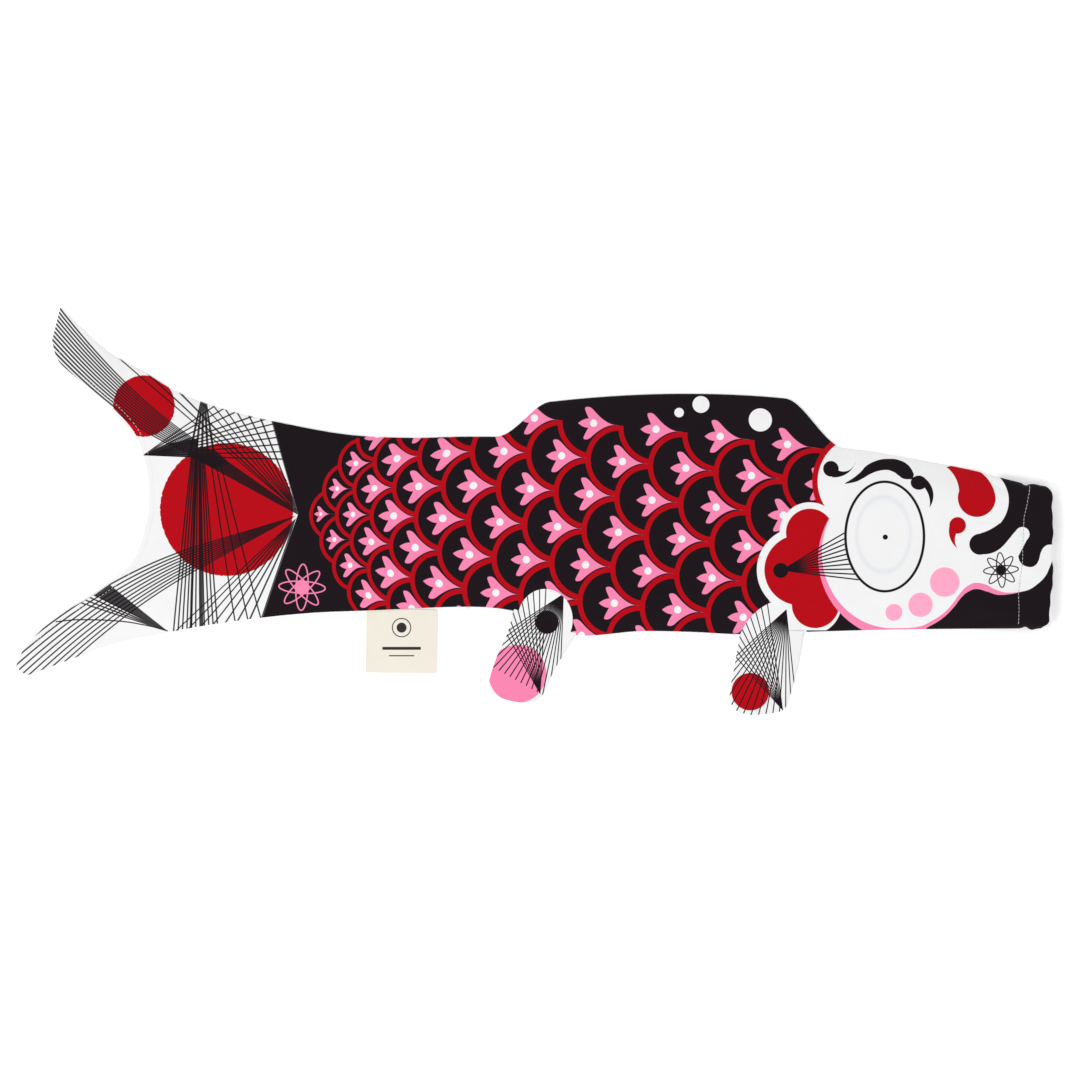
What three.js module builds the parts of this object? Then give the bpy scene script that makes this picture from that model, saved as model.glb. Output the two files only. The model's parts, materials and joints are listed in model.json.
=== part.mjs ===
// A carp streamer: a printed cloth wind tube, lying flat with a little air in it.
//
// Drafting axes, millimetres: X runs from the tail (negative) to the mouth edge at X = 0, Y runs from the
// belly to the back with Y = 0 half way across the waist, and Z is up from the surface the streamer lies on.
// The finished group is then shifted so that its origin is under the middle of the whole object.
//
// The cloth is two panels, far (underneath) and near (on top), sewn together along the back and the belly.
// It is cut here along its bend lines, where the cloth folds most easily in the wind.

import * as THREE from "three";

// ---------- driving dimensions, millimetres and degrees ----------

const overallLength = 700; // mouth edge to the tip of the lower tail lobe
const flatWidth = 115; // across the flat tube at the waist
const clothThickness = 0.4;
const layerGap = 0.3; // between two pieces that lie against each other
const seamAllowance = 6; // width of the turned-in edge along every sewn seam
const ventHemWidth = 5; // width of the turned-in edge along the open tail

const mouthWidth = 96; // of the mouth, laid flat
const mouthGape = 14; // height of the mouth, held open by its hoop
const mouthDrop = 24; // of the mouth's middle below the waist's middle
const casingDepth = 19; // of the channel that holds the hoop
const hoopThickness = 0.8;
const hoopClearance = 4; // from the hoop to the casing's stitching
const threadWidth = 0.6;

const bendClearHeight = 5.8; // air inside the tube at its bend lines
const puffHeight = 4; // extra air between the bend lines
const seamSlope = 30; // distance over which the near panel rises from a seam
const mouthSlope = 9; // the same, just behind the mouth
const mouthBlend = 45; // length over which the mouth's shape fades into the body's

const headLength = 244; // mouth edge to the neck bend
const rearLength = 102; // waist bend to tail bend
const tailLength = 205; // tail bend to the tip of the lower lobe
const bendSwing = 60; // each way, at a bend line
const finSwing = 110; // each way, of a fin or the label
const swingSlack = 0.7; // added to every gap that a swing needs

const napeSetback = 140; // mouth edge to the front of the dorsal fin
const napeDrop = 7.7; // of the back at the nape below the back at the waist
const dorsalFinLength = 236;
const dorsalFinHeight = 31;
const dorsalFinFall = 5; // of its crest, over each hundred millimetres from its highest point
const dorsalFrontRamp = 40;
const dorsalRearRamp = 37;

const pectoralSetback = 167; // mouth edge to the front of the fin's root
const pectoralRoot = 43; // length of its root along the belly
const pectoralDrop = 55.5; // from its root to its tip
const pelvicSetback = 72; // waist bend to the front of the fin's root
const pelvicRoot = 46;
const pelvicDrop = 58;
const pelvicTilt = 21; // of its root, degrees, rising towards the tail

const labelWidth = 48;
const labelDrop = 42; // from the belly seam to its fold
const labelSetback = 21.5; // waist bend to the label
const labelTilt = -1; // degrees

const gridLength = 14; // steps along a puffed panel
const gridWidth = 10; // steps across it
const edgeSteps = 16; // steps along a flat piece

// ---------- what follows from them ----------

const layer = clothThickness + layerGap;
const seamBottom = 2 * layer; // underside of the near panel at a seam
const seamTop = seamBottom + clothThickness;
const bendBottom = clothThickness + bendClearHeight; // underside of the near panel at a bend line
const bendTop = bendBottom + clothThickness;

const backY = flatWidth / 2;
const bellyY = -flatWidth / 2;
const mouthTopY = mouthWidth / 2 - mouthDrop;
const mouthBottomY = -mouthWidth / 2 - mouthDrop;

const tailEndX = -overallLength;
const neckX = -headLength;
const tailX = tailEndX + tailLength;
const waistX = tailX + rearLength;
const casingX = -casingDepth;

const radians = THREE.MathUtils.degToRad;
const smooth = THREE.MathUtils.smoothstep;

// Gap that lets two flat layers, a total height apart, swing about a line half way up it.
const swingGap = (height, degrees) => height * Math.tan(radians(degrees / 2)) + swingSlack;
const bendGap = swingGap(bendTop, bendSwing);
const finGap = swingGap(seamTop, finSwing);

// ---------- the outline, as heights over X ----------

// A smooth height over X through [x, y] stations, which run from the mouth towards the tail.
function edgeThrough(stations) {
  const slope = stations.map((station, i) => {
    const before = stations[Math.max(i - 1, 0)];
    const after = stations[Math.min(i + 1, stations.length - 1)];
    return (after[1] - before[1]) / (after[0] - before[0]);
  });
  return (x) => {
    let i = 0;
    while (i < stations.length - 2 && x < stations[i + 1][0]) i += 1;
    const [x0, y0] = stations[i];
    const [x1, y1] = stations[i + 1];
    const span = x1 - x0;
    const t = (x - x0) / span;
    const rise = t * t * (3 - 2 * t);
    const lead = t * (1 - t) * (1 - t) * span * slope[i];
    const lag = t * t * (1 - t) * span * slope[i + 1];
    return y0 + rise * (y1 - y0) + lead - lag;
  };
}

const backEdge = edgeThrough([
  [0, mouthTopY],
  [casingX, mouthTopY + 2],
  [-59, mouthTopY + 12],
  [-napeSetback, backY - napeDrop],
  [neckX, backY - 1.7],
  [waistX, backY],
  [waistX - 40, backY - 0.8],
  [tailEndX + 226, backY + 1.2],
  [tailEndX + 186, backY + 8],
  [tailEndX + 145, backY + 17.3],
  [tailEndX + 111, backY + 29.3],
  [tailEndX + 84, backY + 45.3],
  [tailEndX + 64, backY + 56.3],
  [tailEndX + 44, backY + 73.8],
  [tailEndX + 30, backY + 87.3],
]);

// The dorsal fin: a low arch with its highest point a third of the way back, and a ramp at each end.
function dorsalRise(x) {
  const setback = -napeSetback - x;
  const crest = dorsalFinHeight - dorsalFinFall * ((setback - dorsalFinLength / 3) / 100) ** 2;
  const front = smooth(setback, 0, dorsalFrontRamp);
  const rear = smooth(dorsalFinLength - setback, 0, dorsalRearRamp);
  return crest * front * rear;
}

const upper = (x) => backEdge(x) + dorsalRise(x);

const pelvicFrontX = waistX + pelvicSetback;
const pelvicRise = pelvicRoot * Math.sin(radians(pelvicTilt));
const pelvicRun = pelvicRoot * Math.cos(radians(pelvicTilt));

const lower = edgeThrough([
  [0, mouthBottomY],
  [-100, mouthBottomY - 0.8],
  [-pectoralSetback, mouthBottomY - 2.5],
  [-pectoralSetback - pectoralRoot, mouthBottomY - 4],
  [neckX, mouthBottomY - 2.5],
  [neckX - 34, mouthBottomY - 2],
  [pelvicFrontX, bellyY - pelvicRise - 2.7],
  [pelvicFrontX - pelvicRun / 2, bellyY - pelvicRise / 2 - 2.4],
  [pelvicFrontX - pelvicRun, bellyY - 2.7],
  [waistX, bellyY],
  [tailX + 32, bellyY - 2.6],
  [tailX - 3, bellyY - 4],
  [tailEndX + 166, bellyY - 7.4],
  [tailEndX + 128, bellyY - 12.7],
  [tailEndX + 101, bellyY - 17.7],
  [tailEndX + 66, bellyY - 25.2],
  [tailEndX + 34, bellyY - 36.7],
  [tailEndX + 7, bellyY - 46.7],
]);

// ---------- how high the near panel lies ----------

// Clear height of the tube over X, away from its seams.
function clearHeight(x) {
  const arch = (from, to) => Math.sin((Math.PI * (x - from)) / (to - from));
  if (x > neckX) {
    const openness = smooth(x, neckX, casingX);
    const mouthClear = mouthGape - 2 * clothThickness;
    return THREE.MathUtils.lerp(bendClearHeight, mouthClear, openness);
  }
  if (x > waistX) return bendClearHeight + puffHeight * arch(neckX, waistX) ** 2;
  if (x > tailX) return bendClearHeight + (puffHeight / 2) * arch(waistX, tailX) ** 2;
  const tip = smooth(x, tailEndX, tailEndX + 0.45 * tailLength);
  return THREE.MathUtils.lerp(layer, bendClearHeight, tip);
}

// Underside of the near panel: a plateau that falls to the seam height along the back and the belly.
function nearUnderside(x, y) {
  const slope = THREE.MathUtils.lerp(seamSlope, mouthSlope, smooth(x, casingX - mouthBlend, casingX));
  const rise = (distance) => 1 - (1 - THREE.MathUtils.clamp(distance / slope, 0, 1)) ** 2;
  const full = Math.max(clothThickness + clearHeight(x) - seamBottom, 0);
  return seamBottom + full * rise(upper(x) - y) * rise(y - lower(x));
}

// ---------- solids ----------

const cloth = {};
const addMaterial = (name, color, roughness) => {
  cloth[name] = new THREE.MeshStandardMaterial({ color, roughness, metalness: 0 });
};
addMaterial("print", 0x25201f, 0.85);
addMaterial("white", 0xf4f3f1, 0.85);
addMaterial("thread", 0xe6e3de, 0.7);
addMaterial("label", 0xf3eee4, 0.9);
addMaterial("hoop", 0xe9e9e4, 0.35);

const streamer = new THREE.Group();

function addPiece(name, geometry, material) {
  const mesh = new THREE.Mesh(geometry, cloth[material]);
  mesh.name = name;
  streamer.add(mesh);
  return mesh;
}

// Two triangles for each cell of a grid of points; index(i, j) gives a point's number.
function gridFaces(rows, columns, index, faces, flip) {
  for (let i = 0; i < rows; i += 1) {
    for (let j = 0; j < columns; j += 1) {
      const a = index(i, j);
      const b = index(i + 1, j);
      const c = index(i + 1, j + 1);
      const d = index(i, j + 1);
      if (flip) faces.push(a, c, b, a, d, c);
      else faces.push(a, b, c, a, c, d);
    }
  }
}

function geometryFrom(points, faces) {
  const geometry = new THREE.BufferGeometry();
  geometry.setAttribute("position", new THREE.Float32BufferAttribute(points.flat(), 3));
  geometry.setIndex(faces);
  geometry.computeVertexNormals();
  return geometry;
}

// A sheet of cloth over a patch of the XY plane. place(u, v) gives a point [x, y] of the patch for u and v
// from 0 to 1, anticlockwise seen from above, and underside(x, y) gives the sheet's lower face there.
function sheet(place, underside, steps, widthSteps, thickness = clothThickness) {
  const points = [];
  for (const lift of [0, thickness]) {
    for (let i = 0; i <= steps; i += 1) {
      for (let j = 0; j <= widthSteps; j += 1) {
        const [x, y] = place(i / steps, j / widthSteps);
        points.push([x, y, underside(x, y) + lift]);
      }
    }
  }
  const half = (steps + 1) * (widthSteps + 1);
  const below = (i, j) => i * (widthSteps + 1) + j;
  const above = (i, j) => half + below(i, j);
  const faces = [];
  gridFaces(steps, widthSteps, below, faces, true);
  gridFaces(steps, widthSteps, above, faces, false);
  gridFaces(steps, 1, (i, k) => (k ? above(i, 0) : below(i, 0)), faces, false);
  gridFaces(steps, 1, (i, k) => (k ? above : below)(i, widthSteps), faces, true);
  gridFaces(widthSteps, 1, (j, k) => (k ? above : below)(0, j), faces, true);
  gridFaces(widthSteps, 1, (j, k) => (k ? above : below)(steps, j), faces, false);
  return geometryFrom(points, faces);
}

// A patch between four boundary curves, each a function of 0 to 1 that gives [x, y] (a Coons patch).
// left and right run from the bottom curve to the top curve.
function patch(bottom, top, left, right) {
  const corners = [bottom(0), bottom(1), top(0), top(1)];
  return (u, v) =>
    [0, 1].map((axis) => {
      const across = (1 - v) * bottom(u)[axis] + v * top(u)[axis];
      const along = (1 - u) * left(v)[axis] + u * right(v)[axis];
      const low = (1 - u) * corners[0][axis] + u * corners[1][axis];
      const high = (1 - u) * corners[2][axis] + u * corners[3][axis];
      return across + along - (1 - v) * low - v * high;
    });
}

const straight = (from, to) => (t) => [0, 1].map((axis) => from[axis] + t * (to[axis] - from[axis]));
const edgeRun = (edge, from, to) => (t) => {
  const x = from + t * (to - from);
  return [x, edge(x)];
};
function curveThrough(points) {
  const curve = new THREE.SplineCurve(points.map(([x, y]) => new THREE.Vector2(x, y)));
  return (t) => curve.getPoint(t).toArray();
}

// A strip that follows a path [x, y](t), as wide as width to the left of the path's direction.
function strip(path, width, level, steps = edgeSteps, thickness = clothThickness) {
  const nudge = 1e-3;
  const place = (u, v) => {
    const before = path(Math.max(u - nudge, 0));
    const after = path(Math.min(u + nudge, 1));
    const run = Math.hypot(after[0] - before[0], after[1] - before[1]);
    const [x, y] = path(u);
    const inward = v * width;
    return [x - (inward * (after[1] - before[1])) / run, y + (inward * (after[0] - before[0])) / run];
  };
  return sheet(place, level, steps, 1, thickness);
}

const part = (path, from, to) => (t) => path(from + t * (to - from));
const reversed = (path) => (t) => path(1 - t);
const flat = (z) => () => z;
const seamLevel = flat(layer);

// ---------- the tube: head, trunk and rear ----------

function addSection(name, fromX, toX) {
  const bottom = edgeRun(lower, fromX, toX);
  const top = edgeRun(upper, fromX, toX);
  const left = straight(bottom(0), top(0));
  const right = straight(bottom(1), top(1));
  const area = patch(bottom, top, left, right);
  addPiece(`${name}_panel_far`, sheet(area, flat(0), edgeSteps, 1), "print");
  addPiece(`${name}_panel_near`, sheet(area, nearUnderside, gridLength, gridWidth), "print");
  addPiece(`${name}_back_seam`, strip(reversed(top), seamAllowance, seamLevel), "white");
}

function addBellySeam(name, fromX, toX) {
  addPiece(name, strip(edgeRun(lower, fromX, toX), seamAllowance, seamLevel, 8), "white");
}

const half = bendGap / 2;
const threadX = casingX - layerGap - threadWidth;
const headFrontX = threadX - layerGap;
addSection("head", neckX + half, headFrontX);
addSection("trunk", waistX + half, neckX - half);
addSection("rear", tailX + half, waistX - half);

const pectoralRearX = -pectoralSetback - pectoralRoot;
const pelvicRearX = pelvicFrontX - pelvicRun;
addBellySeam("chin_seam", -pectoralSetback, headFrontX - seamAllowance);
addBellySeam("breast_seam", neckX + half, pectoralRearX);
addBellySeam("trunk_belly_seam", pelvicFrontX, neckX - half);
addBellySeam("waist_belly_seam", waistX + half, pelvicRearX);
addBellySeam("rear_belly_seam", tailX + half, waistX - half);

// ---------- mouth: casing, hoop and the casing's stitching ----------

// A point of the mouth's loop, a flattened ring with round ends, inset from its outer face.
function mouthLoop(t, inset) {
  const radius = mouthGape / 2 - inset;
  const flatRun = mouthWidth - mouthGape;
  const side = t < 0.5 ? 1 : -1;
  const turn = (t % 0.5) * 2;
  const endShare = 0.5;
  const middleY = mouthTopY - mouthWidth / 2;
  if (turn < 1 - endShare) {
    const y = (side * flatRun * (turn / (1 - endShare) - 0.5));
    return [middleY + y, mouthGape / 2 - side * radius];
  }
  const angle = (Math.PI * (turn - 1 + endShare)) / endShare;
  return [
    middleY + side * (flatRun / 2 + radius * Math.sin(angle)),
    mouthGape / 2 - side * radius * Math.cos(angle),
  ];
}

// A ring that carries a section of [x, inset] points round the mouth's loop.
function mouthRing(section, steps = 40) {
  const points = [];
  for (let i = 0; i < steps; i += 1) {
    for (const [x, inset] of section) {
      const [y, z] = mouthLoop(i / steps, inset);
      points.push([x, y, z]);
    }
  }
  const index = (i, j) => (i % steps) * section.length + (j % section.length);
  const faces = [];
  gridFaces(steps, section.length, index, faces, false);
  return geometryFrom(points, faces);
}

const hoopOuter = layer;
const hoopInner = hoopOuter + hoopThickness;
const hemOuter = hoopInner + layerGap;
const hemInner = hemOuter + clothThickness;
const foldX = -clothThickness;
addPiece(
  "mouth_casing",
  mouthRing([
    [casingX, 0],
    [0, 0],
    [0, hemInner],
    [casingX, hemInner],
    [casingX, hemOuter],
    [foldX, hemOuter],
    [foldX, clothThickness],
    [casingX, clothThickness],
  ]),
  "print",
);
addPiece(
  "mouth_hoop",
  mouthRing([
    [casingX + hoopClearance, hoopOuter],
    [foldX - layerGap, hoopOuter],
    [foldX - layerGap, hoopInner],
    [casingX + hoopClearance, hoopInner],
  ]),
  "hoop",
);
addPiece(
  "casing_stitching",
  mouthRing([
    [threadX, 0],
    [threadX + threadWidth, 0],
    [threadX + threadWidth, clothThickness],
    [threadX, clothThickness],
  ]),
  "thread",
);

// ---------- tail root and lobes ----------

// The open edge of the tail, from the upper lobe's tip round the hollow to the lower lobe's tip.
const ventEdge = curveThrough([
  [tailEndX + 24.6, backY + 65.3],
  [tailEndX + 29, backY + 51.3],
  [tailEndX + 43, backY + 38.3],
  [tailEndX + 66, backY + 19.3],
  [tailEndX + 82, backY + 0.3],
  [tailEndX + 89, backY - 22.7],
  [tailEndX + 90.5, backY - 41.7],
  [tailEndX + 88.5, bellyY + 55.3],
  [tailEndX + 78, bellyY + 28.3],
  [tailEndX + 55, bellyY + 9.3],
  [tailEndX + 28, bellyY - 6.7],
  [tailEndX + 7.6, bellyY - 25.7],
  [tailEndX, bellyY - 40.7],
]);

// Share of the vent edge at which each lobe's bend line leaves it, and where that line meets the outer edge.
const upperBend = { share: 0.3, x: tailEndX + 104 };
const lowerBend = { share: 0.71, x: tailEndX + 74 };

// A point moved along a direction away from a bend line.
function shifted(point, toward, distance) {
  const run = Math.hypot(toward[0], toward[1]);
  return [point[0] + (distance * toward[0]) / run, point[1] + (distance * toward[1]) / run];
}

function lobe(bend, edge, tipX) {
  const root = ventEdge(bend.share);
  const rim = [bend.x, edge(bend.x)];
  const line = [rim[0] - root[0], rim[1] - root[1]];
  const away = edge === upper ? [-line[1], line[0]] : [line[1], -line[0]];
  return { root, rim, away, tipX };
}
const upperLobe = lobe(upperBend, upper, tailEndX + 30);
const lowerLobe = lobe(lowerBend, lower, tailEndX + 7);

// The share of the vent edge, or the X of an outer edge, that is a distance from a lobe's bend line.
function pastBend(lobeOf, curve, from, to, distance) {
  const unit = shifted([0, 0], lobeOf.away, 1);
  const reach = (t) => {
    const [x, y] = curve(t);
    return (x - lobeOf.root[0]) * unit[0] + (y - lobeOf.root[1]) * unit[1] - distance;
  };
  let low = from;
  let high = to;
  for (let i = 0; i < 40; i += 1) {
    const middle = (low + high) / 2;
    if (reach(low) * reach(middle) <= 0) high = middle;
    else low = middle;
  }
  return (low + high) / 2;
}
const onUpper = (x) => [x, upper(x)];
const onLower = (x) => [x, lower(x)];

const upperVentLobe = pastBend(upperLobe, ventEdge, 0, 0.45, half);
const upperVentRoot = pastBend(upperLobe, ventEdge, 0, 0.45, -half);
const upperRimLobe = pastBend(upperLobe, onUpper, tailEndX + 60, tailX, half);
const upperRimRoot = pastBend(upperLobe, onUpper, tailEndX + 60, tailX, -half);
const lowerVentLobe = pastBend(lowerLobe, ventEdge, 1, 0.55, half);
const lowerVentRoot = pastBend(lowerLobe, ventEdge, 1, 0.55, -half);
const lowerRimLobe = pastBend(lowerLobe, onLower, tailEndX + 20, tailX, half);
const lowerRimRoot = pastBend(lowerLobe, onLower, tailEndX + 20, tailX, -half);

// The tail root's left boundary: the lower bend line, the vent edge and the upper bend line in one path.
const rootVent = part(ventEdge, lowerVentRoot, upperVentRoot);
const lineShare = 0.22;
function rootLeft(t) {
  if (t < lineShare) return straight(onLower(lowerRimRoot), rootVent(0))(t / lineShare);
  if (t > 1 - lineShare) {
    return straight(rootVent(1), onUpper(upperRimRoot))((t - 1 + lineShare) / lineShare);
  }
  return rootVent((t - lineShare) / (1 - 2 * lineShare));
}

const tailFrontX = tailX - half;
const tailBottom = edgeRun(lower, lowerRimRoot, tailFrontX);
const tailTop = edgeRun(upper, upperRimRoot, tailFrontX);
const tailArea = patch(tailBottom, tailTop, rootLeft, straight(tailBottom(1), tailTop(1)));
const tailRows = 14; // so that the bend lines' corners fall near a row of points
addPiece("tail_panel_far", sheet(tailArea, flat(0), gridLength, tailRows), "white");
addPiece("tail_panel_near", sheet(tailArea, nearUnderside, gridLength, tailRows), "white");
addPiece("tail_back_seam", strip(reversed(tailTop), seamAllowance, seamLevel), "white");
addPiece("tail_belly_seam", strip(tailBottom, seamAllowance, seamLevel), "white");

// Turned-in hems of the open edge, one on each panel.
function addVentHem(name, from, to, steps) {
  const path = part(ventEdge, from, to);
  const underNear = (x, y) => nearUnderside(x, y) - layer;
  addPiece(`${name}_hem_far`, strip(path, ventHemWidth, flat(layer), steps), "white");
  return addPiece(`${name}_hem_near`, strip(path, ventHemWidth, underNear, steps), "white");
}
addVentHem("vent", upperVentRoot, lowerVentRoot, 20);

function addLobe(name, bottom, top, left, right, seam) {
  const area = patch(bottom, top, left, right);
  addPiece(`${name}_far`, sheet(area, flat(0), gridLength, 2), "white");
  addPiece(`${name}_near`, sheet(area, nearUnderside, gridLength, 6), "white");
  addPiece(`${name}_seam`, strip(seam, seamAllowance, seamLevel), "white");
}
const upperOuter = edgeRun(upper, upperLobe.tipX, upperRimLobe);
const upperInner = part(ventEdge, 0, upperVentLobe);
addLobe(
  "upper_lobe",
  upperInner,
  upperOuter,
  straight(upperInner(0), upperOuter(0)),
  straight(upperInner(1), upperOuter(1)),
  reversed(upperOuter),
);
const lowerOuter = edgeRun(lower, lowerLobe.tipX, lowerRimLobe);
const lowerInner = part(ventEdge, 1, lowerVentLobe);
addLobe(
  "lower_lobe",
  lowerOuter,
  lowerInner,
  straight(lowerOuter(0), lowerInner(0)),
  straight(lowerOuter(1), lowerInner(1)),
  lowerOuter,
);

// ---------- fins ----------

// A fin hangs from a root line: points are [along the root, out from it], and turn places it.
function addFin(name, rootPoint, turn, outline) {
  const toPlan = ([along, out]) => [
    rootPoint[0] + along * Math.cos(turn) + out * Math.sin(turn),
    rootPoint[1] + along * Math.sin(turn) - out * Math.cos(turn),
  ];
  const edge = curveThrough(outline.map(toPlan));
  const left = part(edge, 0, 0.4);
  const bottom = part(edge, 0.4, 0.6);
  const right = part(edge, 0.6, 1);
  const area = patch(bottom, straight(left(0), right(1)), reversed(left), right);
  addPiece(`${name}_far`, sheet(area, flat(0), 4, 10), "white");
  addPiece(`${name}_near`, sheet(area, flat(seamBottom), 4, 10), "white");
  addPiece(`${name}_seam`, strip(edge, seamAllowance / 2, seamLevel, 20), "white");
}

const pectoralRootPoint = [pectoralRearX, (lower(pectoralRearX) + lower(-pectoralSetback)) / 2];
addFin("pectoral_fin", pectoralRootPoint, 0, [
  [0, finGap],
  [-4.5, pectoralDrop * 0.44],
  [-7.5, pectoralDrop * 0.75],
  [-4, pectoralDrop * 0.93],
  [5.5, pectoralDrop],
  [25, pectoralDrop * 0.965],
  [30.5, pectoralDrop * 0.9],
  [34, pectoralDrop * 0.72],
  [40, pectoralDrop * 0.32],
  [pectoralRoot, finGap],
]);
const pelvicRootPoint = [pelvicRearX, lower(pelvicRearX)];
addFin("pelvic_fin", pelvicRootPoint, -radians(pelvicTilt), [
  [0, finGap],
  [2, pelvicDrop * 0.26],
  [1, pelvicDrop * 0.6],
  [3, pelvicDrop * 0.915],
  [12, pelvicDrop],
  [32, pelvicDrop * 0.94],
  [39, pelvicDrop * 0.8],
  [40.5, pelvicDrop * 0.465],
  [pelvicRoot, finGap],
]);

// ---------- label ----------

// A ribbon folded double, both ends caught in the belly seam; its section is drawn across the fold.
const labelShape = new THREE.Shape();
const labelTop = 2 * clothThickness + layerGap;
labelShape.moveTo(-finGap, 0);
labelShape.lineTo(-finGap, clothThickness);
labelShape.lineTo(-labelDrop + clothThickness, clothThickness);
labelShape.lineTo(-labelDrop + clothThickness, layer);
labelShape.lineTo(-finGap, layer);
labelShape.lineTo(-finGap, labelTop);
labelShape.lineTo(-labelDrop, labelTop);
labelShape.lineTo(-labelDrop, 0);
const labelRibbon = new THREE.ExtrudeGeometry(labelShape, { depth: labelWidth, bevelEnabled: false });
// The shape's plane (fold direction, height) becomes (Y, Z), and the extrusion runs along X.
labelRibbon.applyMatrix4(
  new THREE.Matrix4().makeBasis(
    new THREE.Vector3(0, 1, 0),
    new THREE.Vector3(0, 0, 1),
    new THREE.Vector3(1, 0, 0),
  ),
);
const labelX = waistX - labelSetback - labelWidth;
const label = addPiece("label_ribbon", labelRibbon, "label");
label.position.set(labelX, lower(labelX), 0);
label.rotation.z = radians(labelTilt);

// ---------- the origin: under the middle of the whole object ----------

streamer.updateMatrixWorld(true);
const bounds = new THREE.Box3().setFromObject(streamer, true);
const middle = bounds.getCenter(new THREE.Vector3());
streamer.position.set(-middle.x, -middle.y, -bounds.min.z);

export default streamer;
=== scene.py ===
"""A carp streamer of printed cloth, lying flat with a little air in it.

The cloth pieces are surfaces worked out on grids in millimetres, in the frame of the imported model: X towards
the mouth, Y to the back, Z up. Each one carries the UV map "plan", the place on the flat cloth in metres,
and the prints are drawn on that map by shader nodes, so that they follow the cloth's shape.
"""

import json
import math

import bpy
import numpy as np
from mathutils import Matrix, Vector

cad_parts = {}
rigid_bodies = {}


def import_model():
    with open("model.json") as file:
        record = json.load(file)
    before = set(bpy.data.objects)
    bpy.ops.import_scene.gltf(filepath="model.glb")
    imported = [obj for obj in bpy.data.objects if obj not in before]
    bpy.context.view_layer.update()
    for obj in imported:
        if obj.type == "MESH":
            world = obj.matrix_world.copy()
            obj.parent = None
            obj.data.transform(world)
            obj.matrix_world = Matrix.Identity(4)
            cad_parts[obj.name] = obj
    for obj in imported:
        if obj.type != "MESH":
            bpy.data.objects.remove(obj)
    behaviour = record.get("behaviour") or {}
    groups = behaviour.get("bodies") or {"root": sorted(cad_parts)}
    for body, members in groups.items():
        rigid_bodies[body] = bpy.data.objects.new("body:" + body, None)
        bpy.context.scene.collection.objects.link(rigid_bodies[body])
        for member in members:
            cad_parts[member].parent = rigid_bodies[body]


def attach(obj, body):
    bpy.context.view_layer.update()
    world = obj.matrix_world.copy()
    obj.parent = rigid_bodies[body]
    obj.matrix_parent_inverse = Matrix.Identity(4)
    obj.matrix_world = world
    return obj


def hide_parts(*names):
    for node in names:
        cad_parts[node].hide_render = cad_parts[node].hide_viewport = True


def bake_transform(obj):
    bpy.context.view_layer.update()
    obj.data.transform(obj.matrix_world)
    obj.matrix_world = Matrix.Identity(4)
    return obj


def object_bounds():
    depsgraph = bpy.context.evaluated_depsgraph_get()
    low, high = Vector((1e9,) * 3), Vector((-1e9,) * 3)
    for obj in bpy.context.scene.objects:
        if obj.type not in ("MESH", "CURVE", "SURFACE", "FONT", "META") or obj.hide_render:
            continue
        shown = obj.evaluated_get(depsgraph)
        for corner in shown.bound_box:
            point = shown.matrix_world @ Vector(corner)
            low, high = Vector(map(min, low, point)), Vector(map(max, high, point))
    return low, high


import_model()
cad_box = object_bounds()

MM = 0.001
UP = np.array([0.0, 0.0, 1.0])

# ---------- driving dimensions, millimetres and degrees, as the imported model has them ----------

LOW, HIGH = (np.array(corner) / MM for corner in cad_box)
MOUTH_X = HIGH[0]
TAIL_END_X = LOW[0]
FLAT_WIDTH = 115
CLOTH = 0.3
SEAM_MIDDLE = 0.9  # height of the sewn edge above the floor
BEND_HEIGHT = 6.2  # top of the cloth at a bend line, less its thickness
PUFF = 4
SEAM_SLOPE = 30
MOUTH_SLOPE = 9
MOUTH_BLEND = 45
MOUTH_GAPE = 14
CASING_DEPTH = 19
HEAD_LENGTH = 244
REAR_LENGTH = 102
TAIL_LENGTH = 205
NAPE_SETBACK = 140
DORSAL_LENGTH = 236
DORSAL_HEIGHT = 31

MIDDLE_Y = -7.007  # of the waist
BACK_Y = MIDDLE_Y + FLAT_WIDTH / 2
BELLY_Y = MIDDLE_Y - FLAT_WIDTH / 2
MOUTH_TOP_Y = MIDDLE_Y + 24
MOUTH_BOTTOM_Y = MIDDLE_Y - 72
NECK_X = MOUTH_X - HEAD_LENGTH
TAIL_X = TAIL_END_X + TAIL_LENGTH
WAIST_X = TAIL_X + REAR_LENGTH
CASING_X = MOUTH_X - CASING_DEPTH
PELVIC_FRONT_X = WAIST_X + 72
PELVIC_ROOT = 46  # length of the line the fin hangs from, and how steeply it climbs to the waist
PELVIC_CLIMB = math.radians(21)
PELVIC_RISE = PELVIC_ROOT * math.sin(PELVIC_CLIMB)
PELVIC_RUN = PELVIC_ROOT * math.cos(PELVIC_CLIMB)

rng = np.random.default_rng(7)

# ---------- the outline ----------


def smooth(x, low, high):
    """3t^2 - 2t^3, where t runs from 0 at low to 1 at high."""
    t = np.clip((x - low) / (high - low), 0, 1)
    return t * t * (3 - 2 * t)


def edge_through(stations):
    """A height over X: a cubic between each two [x, y] stations, sloped there as the two beside it are."""
    x, y = np.array(stations, float)[::-1].T
    slope = np.concatenate([[(y[1] - y[0]) / (x[1] - x[0])], (y[2:] - y[:-2]) / (x[2:] - x[:-2]),
                            [(y[-1] - y[-2]) / (x[-1] - x[-2])]])

    def height(at):
        at = np.asarray(at, float)
        i = np.clip(np.searchsorted(x, at) - 1, 0, len(x) - 2)
        span = x[i + 1] - x[i]
        t = (at - x[i]) / span
        rise = t * t * (3 - 2 * t) * (y[i + 1] - y[i])
        return y[i] + rise + span * (t * (1 - t) ** 2 * slope[i] - t * t * (1 - t) * slope[i + 1])

    return height


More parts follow.
